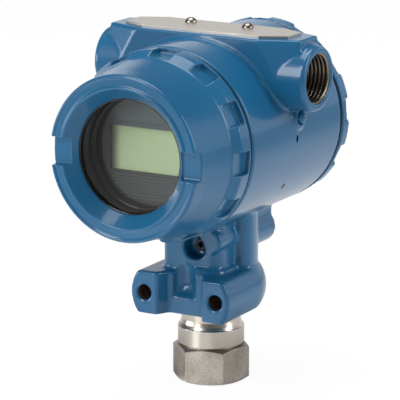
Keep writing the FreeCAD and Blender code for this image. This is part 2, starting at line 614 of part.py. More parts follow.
def display_cover():
    """Turned cover with a coned window recess, notched ring, lugs and a threaded skirt."""
    skirt_end = FLANGE_REAR_Y + SKIRT_LENGTH
    body = turned_y([
        (RING_INNER_R, RING_FRONT_Y), (RING_R - RING_ROUND, RING_FRONT_Y),
        (RING_R - RING_ROUND * 0.3, RING_FRONT_Y + RING_ROUND * 0.3), (RING_R, RING_FRONT_Y + RING_ROUND),
        (RING_R + RING_SIDE[0], RING_FRONT_Y + RING_SIDE[1]),
        (BODY_REAR_R - BODY_STEP[0], BODY_REAR_Y - BODY_STEP[1]),
        (BODY_REAR_R, BODY_REAR_Y), (FLANGE_R, FLANGE_LAND_Y),
        (FLANGE_R, FLANGE_REAR_Y - FLANGE_CHAMFER), (FLANGE_R - FLANGE_CHAMFER, FLANGE_REAR_Y),
        (SKIRT_R, FLANGE_REAR_Y), (SKIRT_R, skirt_end), (COVER_BORE_R, skirt_end),
        (COVER_BORE_R, RETAINER_REAR_Y + 1), (GASKET_R + 1, RETAINER_REAR_Y),
        (GASKET_R, RETAINER_REAR_Y), (GASKET_R, SEAT_Y), (WINDOW_R, SEAT_Y), (WINDOW_R, LIP_Y)])
    band = tube_y(BAND_OUTER_R, BAND_INNER_R, RING_FRONT_Y - EPS, RING_FRONT_Y + BAND_DEPTH)
    body = body.cut(band)
    for s in (-1, 1):
        x0, x1 = sorted((s * NOTCH_INNER_R, s * (RING_R + 2)))
        notch = block(x0, x1, RING_FRONT_Y - EPS, RING_FRONT_Y + NOTCH_DEPTH,
                      AXIS_Z - NOTCH_WIDTH / 2, AXIS_Z + NOTCH_WIDTH / 2)
        body = body.cut(notch)
    pockets = lug_pockets(FRONT_POCKET_DEG, POCKET_FLOOR_R, BODY_REAR_Y - 1, FLANGE_REAR_Y - POCKET_RIM)
    return body.cut(pockets)


def window_gasket():
    """Black gasket that wraps the front rim and the edge of the glass."""
    return turned_y([(WINDOW_R + 0.3, SEAT_Y), (GASKET_R, SEAT_Y), (GASKET_R, GLASS_REAR_Y),
                     (GLASS_R, GLASS_REAR_Y), (GLASS_R, GLASS_FRONT_Y), (WINDOW_R + 0.3, GLASS_FRONT_Y)])


def window_glass():
    """Thick flat glass with a small chamfer."""
    edge = 0.4
    return turned_y([(0, GLASS_FRONT_Y), (GLASS_R - edge, GLASS_FRONT_Y), (GLASS_R, GLASS_FRONT_Y + edge),
                     (GLASS_R, GLASS_REAR_Y - edge), (GLASS_R - edge, GLASS_REAR_Y), (0, GLASS_REAR_Y)])


def window_retainer():
    """Threaded ring that holds the glass, with a coned bore and two key slots."""
    body = turned_y([(RETAINER_INNER_R, GLASS_REAR_Y), (GASKET_R, GLASS_REAR_Y), (GASKET_R, RETAINER_REAR_Y),
                     (RETAINER_INNER_R + 1.2, RETAINER_REAR_Y), (RETAINER_INNER_R, RETAINER_REAR_Y - 1.2)])
    slot = block(-GASKET_R - EPS, GASKET_R + EPS, RETAINER_REAR_Y - 1.0, RETAINER_REAR_Y + EPS,
                 AXIS_Z - 1.25, AXIS_Z + 1.25)
    return body.cut(slot)


def cover_oring(flange_y, direction):
    """O-ring pressed between a cover's flange and the end of the barrel."""
    y0 = flange_y + direction * ORING_SEAT
    y1 = flange_y + direction * (COVER_GAP - ORING_SEAT)
    soft = 0.3
    inner, outer = ORING_INNER_R, ORING_OUTER_R
    near = y0 + direction * soft
    far = y1 - direction * soft
    return turned_y([(inner + soft, y0), (outer - soft, y0), (outer, near), (outer, far),
                     (outer - soft, y1), (inner + soft, y1), (inner, far), (inner, near)])


REAR_FLANGE_Y = BARREL_REAR_Y + COVER_GAP
REAR_FACE_Y = REAR_FLANGE_Y + REAR_COVER_T


def terminal_cover():
    """Blind cover: dished end, the same lugs and the same threaded skirt."""
    skirt_end = REAR_FLANGE_Y - SKIRT_LENGTH
    dish_y = REAR_FACE_Y - REAR_DISH_DEPTH
    body = turned_y([
        (0, dish_y), (REAR_DISH_R, dish_y), (REAR_RIM_R - 0.5, REAR_FACE_Y),
        (FLANGE_R - REAR_BEVEL, REAR_FACE_Y), (FLANGE_R, REAR_FACE_Y - REAR_BEVEL),
        (FLANGE_R, REAR_FLANGE_Y + FLANGE_CHAMFER), (FLANGE_R - FLANGE_CHAMFER, REAR_FLANGE_Y),
        (SKIRT_R, REAR_FLANGE_Y), (SKIRT_R, skirt_end), (COVER_BORE_R, skirt_end),
        (COVER_BORE_R, dish_y - REAR_PLUG_T), (0, dish_y - REAR_PLUG_T)])
    return body.cut(lug_pockets(REAR_POCKET_DEG, POCKET_FLOOR_R + 0.8, REAR_FLANGE_Y + REAR_POCKET_RIM,
                                REAR_FACE_Y + EPS))


# ---------------------------------------------------------------- electronics and display
CUP_FRONT_Y = BULKHEAD_FRONT_Y - CUP_LENGTH
DISPLAY_REAR_Y = DISPLAY_FACE_Y + DISPLAY_T
DISPLAY_BOARD_REAR_Y = DISPLAY_REAR_Y + BOARD_T


def electronics_cup():
    """Plastic cup that fills the front chamber, open in front, with a way in for the ribbon."""
    body = rod(CUP_R, on_axis(CUP_FRONT_Y), on_axis(BULKHEAD_FRONT_Y))
    body = body.cut(rod(CUP_R - CUP_WALL, on_axis(CUP_FRONT_Y - EPS), on_axis(BULKHEAD_FRONT_Y - CUP_WALL)))
    body = body.cut(rod(FEED_R, V(0, CUP_FRONT_Y, FEED_Z), V(0, BULKHEAD_FRONT_Y + EPS, FEED_Z)))
    low = AXIS_Z - CUP_R
    return body.cut(block(-RIBBON_WIDTH, RIBBON_WIDTH, CUP_FRONT_Y + CUP_LENGTH / 2, BULKHEAD_FRONT_Y + EPS,
                          low - EPS, low + 3 * CUP_WALL))


def potting():
    """Cast block in the bottom of the cup."""
    rear = BULKHEAD_FRONT_Y - CUP_WALL
    body = rod(CUP_R - CUP_WALL, on_axis(rear - POTTING_T), on_axis(rear))
    body = body.cut(rod(FEED_R, V(0, rear - POTTING_T - EPS, FEED_Z), V(0, rear + EPS, FEED_Z)))
    low = AXIS_Z - CUP_R
    return body.cut(block(-RIBBON_WIDTH, RIBBON_WIDTH, rear - POTTING_T - EPS, rear + EPS,
                          low - EPS, low + 3 * CUP_WALL))


def electronics_board():
    """Round board on the potting, with its larger parts."""
    rear = BULKHEAD_FRONT_Y - CUP_WALL - POTTING_T
    front = rear - BOARD_T
    body = rod(BOARD_R, on_axis(front), on_axis(rear))
    for x, z, w, h, t in BOARD_PARTS:
        part = block(x - w / 2, x + w / 2, front - t, front, AXIS_Z + z - h / 2, AXIS_Z + z + h / 2)
        body = body.fuse(part)
    return body


def ribbon():
    """Flat ribbon from the sensor stem up to the cup, through the sloping wire way."""
    way = WIRE_WAY_END - WIRE_WAY_START
    along = way * (1 / way.Length)
    across = V(0, along.z, -along.y) * (RIBBON_T / 2)
    half = X * (RIBBON_WIDTH / 2)
    foot = WIRE_WAY_START + along * RIBBON_START
    end = WIRE_WAY_END - along * RIBBON_START
    outline = [foot - half - across, foot + half - across, end + half - across, end - half - across]
    return face(outline).extrude(across * 2)


def display_bezel():
    """Round display body with a window, two fine lines over it and ribs below it."""
    face_y = DISPLAY_FACE_Y
    body = turned_y([(0, face_y), (DISPLAY_R - BEZEL_EDGE, face_y), (DISPLAY_R, face_y + BEZEL_EDGE),
                     (DISPLAY_R, DISPLAY_REAR_Y), (0, DISPLAY_REAR_Y)])
    half_w = LCD_WIDTH / 2
    half_h = LCD_HEIGHT / 2
    pocket_y = face_y + LCD_SINK + LCD_T
    body = body.cut(block(-half_w, half_w, face_y - EPS, pocket_y, AXIS_Z - half_h, AXIS_Z + half_h))
    for i in range(LINE_COUNT):
        z = AXIS_Z + half_h + LINE_GAP * (i + 1)
        groove = block(-DISPLAY_R, DISPLAY_R, face_y - EPS, face_y + LINE_DEPTH, z, z + LINE_WIDTH)
        body = body.cut(groove)
    disc = rod(DISPLAY_R - BEZEL_EDGE, on_axis(face_y - RIB_HEIGHT), on_axis(face_y + EPS))
    for i in range(RIB_COUNT):
        z = AXIS_Z - half_h - RIB_START - RIB_PITCH * i
        rib = block(-DISPLAY_R, DISPLAY_R, face_y - RIB_HEIGHT, face_y + EPS, z - RIB_WIDTH, z)
        body = body.fuse(rib.common(disc))
    return body


def lcd_panel():
    """Glass panel behind the window of the display."""
    half_w = LCD_WIDTH / 2 - LCD_FIT
    half_h = LCD_HEIGHT / 2 - LCD_FIT
    y0 = DISPLAY_FACE_Y + LCD_SINK
    return block(-half_w, half_w, y0, y0 + LCD_T, AXIS_Z - half_h, AXIS_Z + half_h)


def display_board():
    """Board on the back of the display, with its plug towards the electronics."""
    body = rod(DISPLAY_BOARD_R, on_axis(DISPLAY_REAR_Y), on_axis(DISPLAY_BOARD_REAR_Y))
    w, h = PIN_BLOCK
    board_front = BULKHEAD_FRONT_Y - CUP_WALL - POTTING_T - BOARD_T
    plug = block(-w / 2, w / 2, DISPLAY_BOARD_REAR_Y, board_front, AXIS_Z - h / 2, AXIS_Z + h / 2)
    return body.fuse(plug)


def display_spacer():
    """Ring with four windows that carries the display on the rim of the board."""
    board_front = BULKHEAD_FRONT_Y - CUP_WALL - POTTING_T - BOARD_T
    body = tube_y(DISPLAY_BOARD_R, DISPLAY_BOARD_R - SPACER_WALL, DISPLAY_BOARD_REAR_Y, board_front)
    half = SPACER_WINDOW / 2
    y0, y1 = DISPLAY_BOARD_REAR_Y + SPACER_RIM, board_front - SPACER_RIM
    reach = DISPLAY_BOARD_R + EPS
    body = body.cut(block(-reach, reach, y0, y1, AXIS_Z - half, AXIS_Z + half))
    return body.cut(block(-half, half, y0, y1, AXIS_Z - reach, AXIS_Z + reach))


# ---------------------------------------------------------------- terminal side
TERMINAL_FACE_Y = BULKHEAD_REAR_Y + TERMINAL_T
TERMINAL_Z = AXIS_Z - TERMINAL_DROP


def terminal_places():
    """X of each terminal screw, spread evenly about the middle."""
    return [(i - (TERMINAL_COUNT - 1) / 2) * TERMINAL_PITCH for i in range(TERMINAL_COUNT)]


def terminal_block():
    """Moulded block with a flat top and one well for each terminal."""
    body = rod(TERMINAL_R, on_axis(BULKHEAD_REAR_Y), on_axis(TERMINAL_FACE_Y))
    top = block(-TERMINAL_R, TERMINAL_R, BULKHEAD_REAR_Y - EPS, TERMINAL_FACE_Y + EPS,
                AXIS_Z + TERMINAL_TOP, AXIS_Z + TERMINAL_R + EPS)
    body = body.cut(top)
    w, h = TERMINAL_WELL
    floor = TERMINAL_FACE_Y - TERMINAL_WELL_DEPTH
    for x in terminal_places():
        body = body.cut(block(x - w / 2, x + w / 2, floor, TERMINAL_FACE_Y + EPS,
                              TERMINAL_Z - h / 2, AXIS_Z + TERMINAL_TOP + EPS))
        body = body.cut(rod(TERMINAL_SCREW_SHANK_R, V(x, floor - TERMINAL_SCREW_LENGTH, TERMINAL_Z),
                            V(x, floor + EPS, TERMINAL_Z)))
    feed_end = BULKHEAD_REAR_Y + CUP_WALL
    return body.cut(rod(FEED_R, V(0, BULKHEAD_REAR_Y - EPS, FEED_Z), V(0, feed_end, FEED_Z)))


def slotted_screw(seat, length):
    """Pan-head slotted screw whose head rests on the seat and looks along +Y."""
    head = rod(TERMINAL_SCREW_R, seat, seat + Y * TERMINAL_SCREW_HEAD_T)
    rim = [e for e in head.Edges if abs(e.CenterOfMass.y - seat.y - TERMINAL_SCREW_HEAD_T) < 0.01
           and e.Length > TERMINAL_SCREW_R]
    head = head.makeFillet(TERMINAL_SCREW_HEAD_T / 3, rim)
    y1 = seat.y + TERMINAL_SCREW_HEAD_T
    reach = TERMINAL_SCREW_R + EPS
    slot = block(seat.x - SLOT_WIDTH / 2, seat.x + SLOT_WIDTH / 2, y1 - SLOT_DEPTH, y1 + EPS,
                 seat.z - reach, seat.z + reach)
    return head.fuse(rod(TERMINAL_SCREW_SHANK_R, seat - Y * length, seat)).cut(slot)


def terminal_screws():
    """One screw in each well."""
    floor = TERMINAL_FACE_Y - TERMINAL_WELL_DEPTH
    return Part.makeCompound([slotted_screw(V(x, floor, TERMINAL_Z), TERMINAL_SCREW_LENGTH)
                              for x in terminal_places()])


def ground_screw():
    """Inner ground screw in the bulkhead."""
    return slotted_screw(ground_screw_seat(), TERMINAL_SCREW_LENGTH / 3)


def feedthrough():
    """Sealed bush with four pins that joins the two chambers."""
    y0 = BULKHEAD_FRONT_Y - CUP_WALL
    y1 = BULKHEAD_REAR_Y + CUP_WALL
    body = rod(FEED_R, V(0, y0, FEED_Z), V(0, y1, FEED_Z))
    for i in range(FEED_PIN_COUNT):
        a = math.radians(TAU * (i + 0.5) / FEED_PIN_COUNT)
        foot = V(FEED_PIN_CIRCLE_R * math.cos(a), y0 - FEED_PIN_REACH,
                 FEED_Z + FEED_PIN_CIRCLE_R * math.sin(a))
        body = body.fuse(rod(FEED_PIN_R, foot, foot + Y * FEED_PIN_LENGTH))
    return body


# ---------------------------------------------------------------- trim and screws
def nameplate():
    """Bare stainless plate on the pad, drilled for its two drive screws."""
    front = CONDUIT_Y - PLATE_HALF_DEPTH
    outline = octagon(PLATE_HALF_FRONT, PLATE_HALF_LENGTH, front, CONDUIT_Y - PLATE_HALF_END, PAD_Z)
    body = face(outline).extrude(V(0, 0, PLATE_T))
    for s in (-1, 1):
        foot = V(s * PLATE_SCREW_X, PLATE_SCREW_Y, PAD_Z)
        body = body.cut(rod(PLATE_SCREW_SHANK_R, foot - Z * EPS, foot + Z * (PLATE_T + EPS)))
    return body


def nameplate_screws():
    """Two drive screws with low domed heads."""
    screws = []
    dome_r = (PLATE_SCREW_R ** 2 + PLATE_SCREW_HEAD ** 2) / (2 * PLATE_SCREW_HEAD)
    for s in (-1, 1):
        seat = V(s * PLATE_SCREW_X, PLATE_SCREW_Y, PAD_Z + PLATE_T)
        dome = Part.makeSphere(dome_r, seat + Z * (PLATE_SCREW_HEAD - dome_r))
        half = Part.makeCylinder(PLATE_SCREW_R + EPS, dome_r + EPS, seat)
        shank = rod(PLATE_SCREW_SHANK_R, seat - Z * (PLATE_T + PLATE_SCREW_LENGTH - EPS), seat + Z * 0.2)
        screws.append(dome.common(half).fuse(shank))
    return Part.makeCompound(screws)


def lock_screw():
    """Set screw with a hexagon socket that holds the housing on the stem."""
    y1 = -STEM_R - LOCK_CLEARANCE
    y0 = y1 - LOCK_SCREW_LENGTH
    body = rod(LOCK_SCREW_R, V(LOCK_X, y0, LOCK_Z), V(LOCK_X, y1, LOCK_Z))
    socket = []
    for i in range(6):
        a = math.radians(60 * i)
        socket.append(V(LOCK_X + LOCK_SOCKET_R * math.cos(a), y0 - EPS, LOCK_Z + LOCK_SOCKET_R * math.sin(a)))
    return body.cut(face(socket).extrude(V(0, LOCK_SOCKET_DEPTH + EPS, 0)))


def side_screw():
    """Small domed screw, sunk in the boss on the side of the barrel."""
    floor_x = SIDE_BOSS_FACE_X - SIDE_SCREW_RECESS_DEPTH
    floor = V(floor_x, SIDE_BOSS_Y, SIDE_BOSS_Z)
    dome_r = (SIDE_SCREW_HEAD_R ** 2 + SIDE_SCREW_HEAD_T ** 2) / (2 * SIDE_SCREW_HEAD_T)
    dome = Part.makeSphere(dome_r, floor + X * (SIDE_SCREW_HEAD_T - dome_r))
    head = dome.common(Part.makeCylinder(SIDE_SCREW_HEAD_R + EPS, SIDE_SCREW_HEAD_T + EPS, floor, X))
    return head.fuse(rod(SIDE_SCREW_SHANK_R, floor - X * SIDE_SCREW_LENGTH, floor + X * (EPS / 2)))


os.makedirs("parts", exist_ok=True)
NODES = [process_connection, sensor_module, isolating_diaphragm, pressure_sensor, sensor_board, sensor_header,
         housing, nameplate, nameplate_screws, lock_screw, side_screw,
         electronics_cup, potting, electronics_board, ribbon, display_bezel, lcd_panel, display_board,
         display_spacer, feedthrough, terminal_block, terminal_screws, ground_screw,
         display_cover, window_gasket, window_glass, window_retainer, terminal_cover]
for make in NODES:
    save(make.__name__, make())
save("display_cover_oring", cover_oring(FLANGE_REAR_Y, 1))
save("terminal_cover_oring", cover_oring(REAR_FLANGE_Y, -1))
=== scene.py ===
import bmesh
import bpy
import math
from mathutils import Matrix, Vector
from mathutils.bvhtree import BVHTree


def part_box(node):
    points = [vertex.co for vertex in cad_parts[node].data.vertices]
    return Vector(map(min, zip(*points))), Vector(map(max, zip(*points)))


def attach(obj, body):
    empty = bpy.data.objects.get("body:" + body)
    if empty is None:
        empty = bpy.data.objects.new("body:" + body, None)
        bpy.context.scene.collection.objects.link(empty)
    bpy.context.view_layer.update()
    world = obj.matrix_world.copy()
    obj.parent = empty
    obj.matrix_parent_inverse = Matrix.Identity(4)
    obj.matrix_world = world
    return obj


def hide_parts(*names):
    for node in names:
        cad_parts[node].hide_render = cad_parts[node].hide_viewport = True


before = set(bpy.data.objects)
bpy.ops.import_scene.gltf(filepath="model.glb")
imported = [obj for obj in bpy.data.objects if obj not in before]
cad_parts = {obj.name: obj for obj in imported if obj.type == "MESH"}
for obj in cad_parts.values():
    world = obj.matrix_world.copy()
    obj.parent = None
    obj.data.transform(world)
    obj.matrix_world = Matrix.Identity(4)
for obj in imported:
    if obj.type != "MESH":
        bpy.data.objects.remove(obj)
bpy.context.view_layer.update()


# ---- Camera ----
# A long lens about 1.1 m away, a little above the display and to its right.
# It looks at the middle of the instrument, at the height of the bracket neck.
def linked(name, data):
    """A new object with that data, in the scene."""
    made = bpy.data.objects.new(name, data)
    bpy.context.scene.collection.objects.link(made)
    return made


camera_data = bpy.data.cameras.new("studio_camera")
camera_data.lens = 238.6
camera_data.sensor_width = 36.0
camera_data.clip_start = 0.05
camera = linked("studio_camera", camera_data)
camera_place = Vector((0.5384, -0.9404, 0.3393))
looked_at = Vector((-0.00543, 0.0, 0.07648))
camera.location = camera_place
camera.rotation_euler = (looked_at - camera_place).to_track_quat("-Z", "Y").to_euler()
bpy.context.scene.camera = camera
bpy.context.scene.view_settings.view_transform = "Standard"


# ---- Studio: floor, backdrop and light ----
# A matt white sweep. What the lens, metal and glass see of it is plain white; the floor keeps
# a soft shadow. Two tall soft boxes, one above and a small low fill light the instrument.
def linear(code):
    """An sRGB hex colour as linear red, green, blue and alpha."""
    parts = [int(code[i:i + 2], 16) / 255 for i in (1, 3, 5)]
    curve = [p / 12.92 if p <= 0.04045 else ((p + 0.055) / 1.055) ** 2.4 for p in parts]
    return (*curve, 1.0)


def add(tree, kind, inputs=None, **settings):
    """One node with its settings; each input is a plain value or the socket that feeds it.

    On a Map Range, 1 and 2 are the range that comes in, and 3 and 4 the range that goes out."""
    made = tree.nodes.new(kind)
    for name, value in settings.items():
        setattr(made, name, value)
    for name, value in (inputs or {}).items():
        if isinstance(value, bpy.types.NodeSocket):
            tree.links.new(value, made.inputs[name])
        else:
            made.inputs[name].default_value = value
    return made


def material(name):
    """An empty node material and its tree."""
    made = bpy.data.materials.new(name)
    made.use_nodes = True
    made.node_tree.nodes.clear()
    return made, made.node_tree


WHITE = (1.0, 1.0, 1.0, 1.0)
FLOOR_REACH = 4.0
WHITE_SHARE = 0.93              # of the floor, as the lens, metal and glass see it
floor_mesh = bpy.data.meshes.new("studio_floor")
floor_mesh.from_pydata([(x * FLOOR_REACH, y * FLOOR_REACH, 0)
                        for x, y in ((-1, -1), (1, -1), (1, 1), (-1, 1))], [], [(0, 1, 2, 3)])
floor = linked("studio_floor", floor_mesh)
floor_paper, tree = material("white_sweep_paper")
path = add(tree, "ShaderNodeLightPath")
seen = add(tree, "ShaderNodeMath", {0: path.outputs["Is Camera Ray"], 1: path.outputs["Is Glossy Ray"]},
           operation="MAXIMUM")
seen = add(tree, "ShaderNodeMath", {0: seen.outputs[0], 1: path.outputs["Is Transmission Ray"]},
           operation="MAXIMUM")
share = add(tree, "ShaderNodeMath", {0: seen.outputs[0], 1: WHITE_SHARE}, operation="MULTIPLY")
# In reflections only, the paper's brightness is painted: painted shade round the foot, greyer far off,
# and a painted streak of light in front, where the left box would throw one. Distances from the foot are in
# metres.
place = add(tree, "ShaderNodeNewGeometry")
away = add(tree, "ShaderNodeVectorMath", {0: place.outputs["Position"]}, operation="LENGTH")
bearing = add(tree, "ShaderNodeVectorMath", {0: place.outputs["Position"]}, operation="NORMALIZE")
front = add(tree, "ShaderNodeVectorMath", {0: bearing.outputs[0], 1: (-0.1, -1.0, 0.0)},
            operation="DOT_PRODUCT")
front = add(tree, "ShaderNodeMapRange", {0: front.outputs["Value"], 1: 0.45, 2: 0.9})
near = add(tree, "ShaderNodeMapRange", {0: away.outputs["Value"], 1: 0.04, 2: 0.11, 3: 0.28, 4: 0.95})
near = add(tree, "ShaderNodeMath", {0: near.outputs[0], 1: front.outputs[0]}, operation="MAXIMUM")
edge = add(tree, "ShaderNodeMapRange", {0: front.outputs[0], 3: 0.4, 4: 0.12})
far = add(tree, "ShaderNodeMapRange", {0: away.outputs["Value"], 1: 0.25, 2: 0.6, 3: 1.0,
                                       4: edge.outputs[0]})
mirrored = add(tree, "ShaderNodeMath", {0: near.outputs[0], 1: far.outputs[0]}, operation="MINIMUM")
# A painted streak of light on the paper, seen only in reflections.
painted_light_streak = add(tree, "ShaderNodeVectorMath", {0: bearing.outputs[0], 1: (-0.34, -0.94, 0.0)},
             operation="DOT_PRODUCT")
painted_light_streak = add(tree, "ShaderNodeMapRange", {0: painted_light_streak.outputs["Value"], 1: 0.97, 2: 0.995, 3: 0.0, 4: 0.9})
mirrored = add(tree, "ShaderNodeMath", {0: mirrored.outputs[0], 1: painted_light_streak.outputs[0]}, operation="ADD")
unseen = add(tree, "ShaderNodeMath", {0: 1.0, 1: path.outputs["Is Camera Ray"]}, operation="SUBTRACT")
mirrored = add(tree, "ShaderNodeMixRGB", {"Fac": unseen.outputs[0], "Color1": WHITE,
                                          "Color2": mirrored.outputs[0]})
paper = add(tree, "ShaderNodeBsdfDiffuse", {"Color": linear("#f4f4f4")})
white = add(tree, "ShaderNodeEmission", {"Color": WHITE, "Strength": mirrored.outputs[0]})
both = add(tree, "ShaderNodeMixShader", {0: share.outputs[0], 1: paper.outputs[0], 2: white.outputs[0]})
add(tree, "ShaderNodeOutputMaterial", {"Surface": both.outputs[0]})
floor_mesh.materials.append(floor_paper)

# The room is grey for what it lights and white to the lens. In reflections it is bright low
# behind the instrument, dimmer low in front and dark overhead.
world = bpy.data.worlds.new("studio_world")
bpy.context.scene.world = world
world.use_nodes = True
tree = world.node_tree
tree.nodes.clear()
path = add(tree, "ShaderNodeLightPath")
seen = add(tree, "ShaderNodeMath", {0: path.outputs["Is Camera Ray"],
                                    1: path.outputs["Is Transmission Ray"]}, operation="MAXIMUM")
sky = add(tree, "ShaderNodeTexCoord")
height = add(tree, "ShaderNodeSeparateXYZ", {0: sky.outputs["Generated"]})
behind = add(tree, "ShaderNodeMapRange", {0: height.outputs["Y"], 1: 0.1, 2: 0.6, 3: 0.2, 4: 0.95})
level = add(tree, "ShaderNodeMapRange", {0: height.outputs["Z"], 1: 0.3, 2: 0.48, 3: behind.outputs[0],
                                         4: 0.08})
room = add(tree, "ShaderNodeBackground", {"Color": WHITE, "Strength": 0.55})
mirrored = add(tree, "ShaderNodeBackground", {"Color": WHITE, "Strength": level.outputs[0]})
backdrop = add(tree, "ShaderNodeBackground", {"Color": WHITE, "Strength": 1.0})
around = add(tree, "ShaderNodeMixShader", {0: path.outputs["Is Glossy Ray"], 1: room.outputs[0],
                                           2: mirrored.outputs[0]})
both = add(tree, "ShaderNodeMixShader", {0: seen.outputs[0], 1: around.outputs[0], 2: backdrop.outputs[0]})
add(tree, "ShaderNodeOutputWorld", {"Surface": both.outputs[0]})

# Each lamp has its place, width and height in metres, its power in watts, and its share of shine.
LIT_POINT = Vector((0, 0, 0.09))
for name, place, width, height, power, shine in (
        ("low_fill", (-0.95, -0.6, 0.12), 0.5, 0.3, 3.5, 0.2),
        ("left_soft_box", (-0.45, -1.05, 0.75), 0.35, 0.9, 9.5, 1.0),
        ("right_soft_box", (1.15, 0.25, 0.65), 0.3, 0.9, 7.0, 1.0),
        ("top_soft_box", (-0.15, 0.1, 1.2), 0.9, 0.7, 9.0, 0.6)):
    lamp_data = bpy.data.lights.new(name, "AREA")
    lamp_data.shape = "RECTANGLE"
    lamp_data.size = width
    lamp_data.size_y = height
    lamp_data.specular_factor = shine
    lamp_data.energy = power
    lamp = linked(name, lamp_data)
    lamp.location = place
    lamp.rotation_euler = (LIT_POINT - Vector(place)).to_track_quat("-Z", "Y").to_euler()

# Dark cards beside the sweep, so that polished steel has something dark to mirror.
CARD_TOP = Vector((0, 0, 0.9))
card_black, tree = material("black_card")
felt = add(tree, "ShaderNodeBsdfDiffuse", {"Color": linear("#202020")})
add(tree, "ShaderNodeOutputMaterial", {"Surface": felt.outputs[0]})
for name, x, y, half_width in (("dark_card_left", -1.3, -0.3, 0.3),
                               ("dark_card_right", 0.75, -1.35, 0.14)):
    across = Vector((-y, x, 0)).normalized() * half_width
    foot = Vector((x, y, 0))
    card_mesh = bpy.data.meshes.new(name)
    card_mesh.from_pydata([foot - across, foot + across, foot + across + CARD_TOP,
                           foot - across + CARD_TOP], [], [(0, 1, 2, 3)])
    card_mesh.materials.append(card_black)
    card = linked(name, card_mesh)
    card.visible_camera = False
    card.visible_diffuse = False
    card.visible_shadow = False

# ---- Process connection ----
# The hexagon that screws on to the process pipe: cast and machined stainless steel, bead-blasted.
# The blasting leaves a fine even grain and a soft warm grey.
MM = 0.001


def dress(node, made):
    """Give a CAD node its finish."""
    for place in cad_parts[node].material_slots:
        place.material = made


def bare_metal(name, light, dark, rough, grain_mm, grain_depth_mm, edge_mm):
    """Unpainted metal with a blasted or machined grain of that size and depth and rounded edges."""
    made, tree = material(name)
    where = add(tree, "ShaderNodeTexCoord")
    grain = add(tree, "ShaderNodeTexNoise", {"Vector": where.outputs["Object"],
                                             "Scale": 1 / (grain_mm * MM),
                                             "Detail": 3.0, "Roughness": 0.7})
    cloud = add(tree, "ShaderNodeTexNoise", {"Vector": where.outputs["Object"], "Scale": 1 / (9 * MM),
                                             "Detail": 2.0})
    mixed = add(tree, "ShaderNodeMath", {0: grain.outputs[0], 1: cloud.outputs[0]}, operation="ADD")
    tone = add(tree, "ShaderNodeMapRange", {0: mixed.outputs[0], 1: 0.6, 2: 1.4})
    colour = add(tree, "ShaderNodeMixRGB", {"Fac": tone.outputs[0], "Color1": linear(dark),
                                            "Color2": linear(light)})
    gloss = add(tree, "ShaderNodeMapRange", {0: grain.outputs[0], 1: 0.3, 2: 0.7,
                                             3: rough - 0.06, 4: rough + 0.08})
    round_edge = add(tree, "ShaderNodeBevel", {"Radius": edge_mm * MM}, samples=6)
    bump = add(tree, "ShaderNodeBump", {"Height": grain.outputs[0], "Distance": grain_depth_mm * MM,
                                        "Strength": 0.6, "Normal": round_edge.outputs[0]})
    steel = add(tree, "ShaderNodeBsdfPrincipled", {"Base Color": colour.outputs[0], "Metallic": 1.0,
                                                   "Roughness": gloss.outputs[0],
                                                   "Normal": bump.outputs[0]})
    add(tree, "ShaderNodeOutputMaterial", {"Surface": steel.outputs[0]})
    return made


dress("process_connection",
      bare_metal("bead_blasted_stainless_steel", "#d6cec3", "#8b837a", 0.42, 0.75, 0.09, 0.25))

# ---- Sensor module ----
# Collar and shoulder between the hexagon and the housing, turned from stainless bar.
# The collar keeps its fine turning lines; the shoulder above it is polished to a mirror.
POLISHED_FROM_Z = 23.2 * MM
TURNING_PITCH = 1.3 * MM        # coarser than a real feed, which would be too fine to draw
WAVE_LENGTH = 0.314             # of a wave texture of scale 1, in metres
turned_steel, tree = material("turned_stainless_steel")
where = add(tree, "ShaderNodeTexCoord")
split = add(tree, "ShaderNodeSeparateXYZ", {0: where.outputs["Object"]})
lines = add(tree, "ShaderNodeTexWave", {"Vector": where.outputs["Object"],
                                        "Scale": WAVE_LENGTH / TURNING_PITCH,
                                        "Distortion": 0.25, "Detail": 1.0},
            bands_direction="Z")
polished = add(tree, "ShaderNodeMath", {0: split.outputs["Z"], 1: POLISHED_FROM_Z},
               operation="GREATER_THAN")
gloss = add(tree, "ShaderNodeMapRange", {0: lines.outputs["Fac"], 3: 0.23, 4: 0.26})
gloss = add(tree, "ShaderNodeMixRGB", {"Fac": polished.outputs[0], "Color1": gloss.outputs[0],
                                       "Color2": (0.28, 0.28, 0.28, 1)})
colour = add(tree, "ShaderNodeMixRGB", {"Fac": lines.outputs["Fac"], "Color1": linear("#c2bbb1"),
                                        "Color2": linear("#c6bfb5")})
depth = add(tree, "ShaderNodeMath", {0: 1.0, 1: polished.outputs[0]}, operation="SUBTRACT")
round_edge = add(tree, "ShaderNodeBevel", {"Radius": 0.3 * MM}, samples=6)
bump = add(tree, "ShaderNodeBump", {"Height": lines.outputs["Fac"], "Distance": 0.0004 * MM,
                                    "Strength": depth.outputs[0], "Normal": round_edge.outputs[0]})
steel = add(tree, "ShaderNodeBsdfPrincipled", {"Base Color": colour.outputs[0], "Metallic": 1.0,
                                               "Roughness": gloss.outputs[0], "Normal": bump.outputs[0]})
add(tree, "ShaderNodeOutputMaterial", {"Surface": steel.outputs[0]})
for node in ("sensor_module", "isolating_diaphragm", "pressure_sensor", "sensor_header"):
    dress(node, turned_steel)


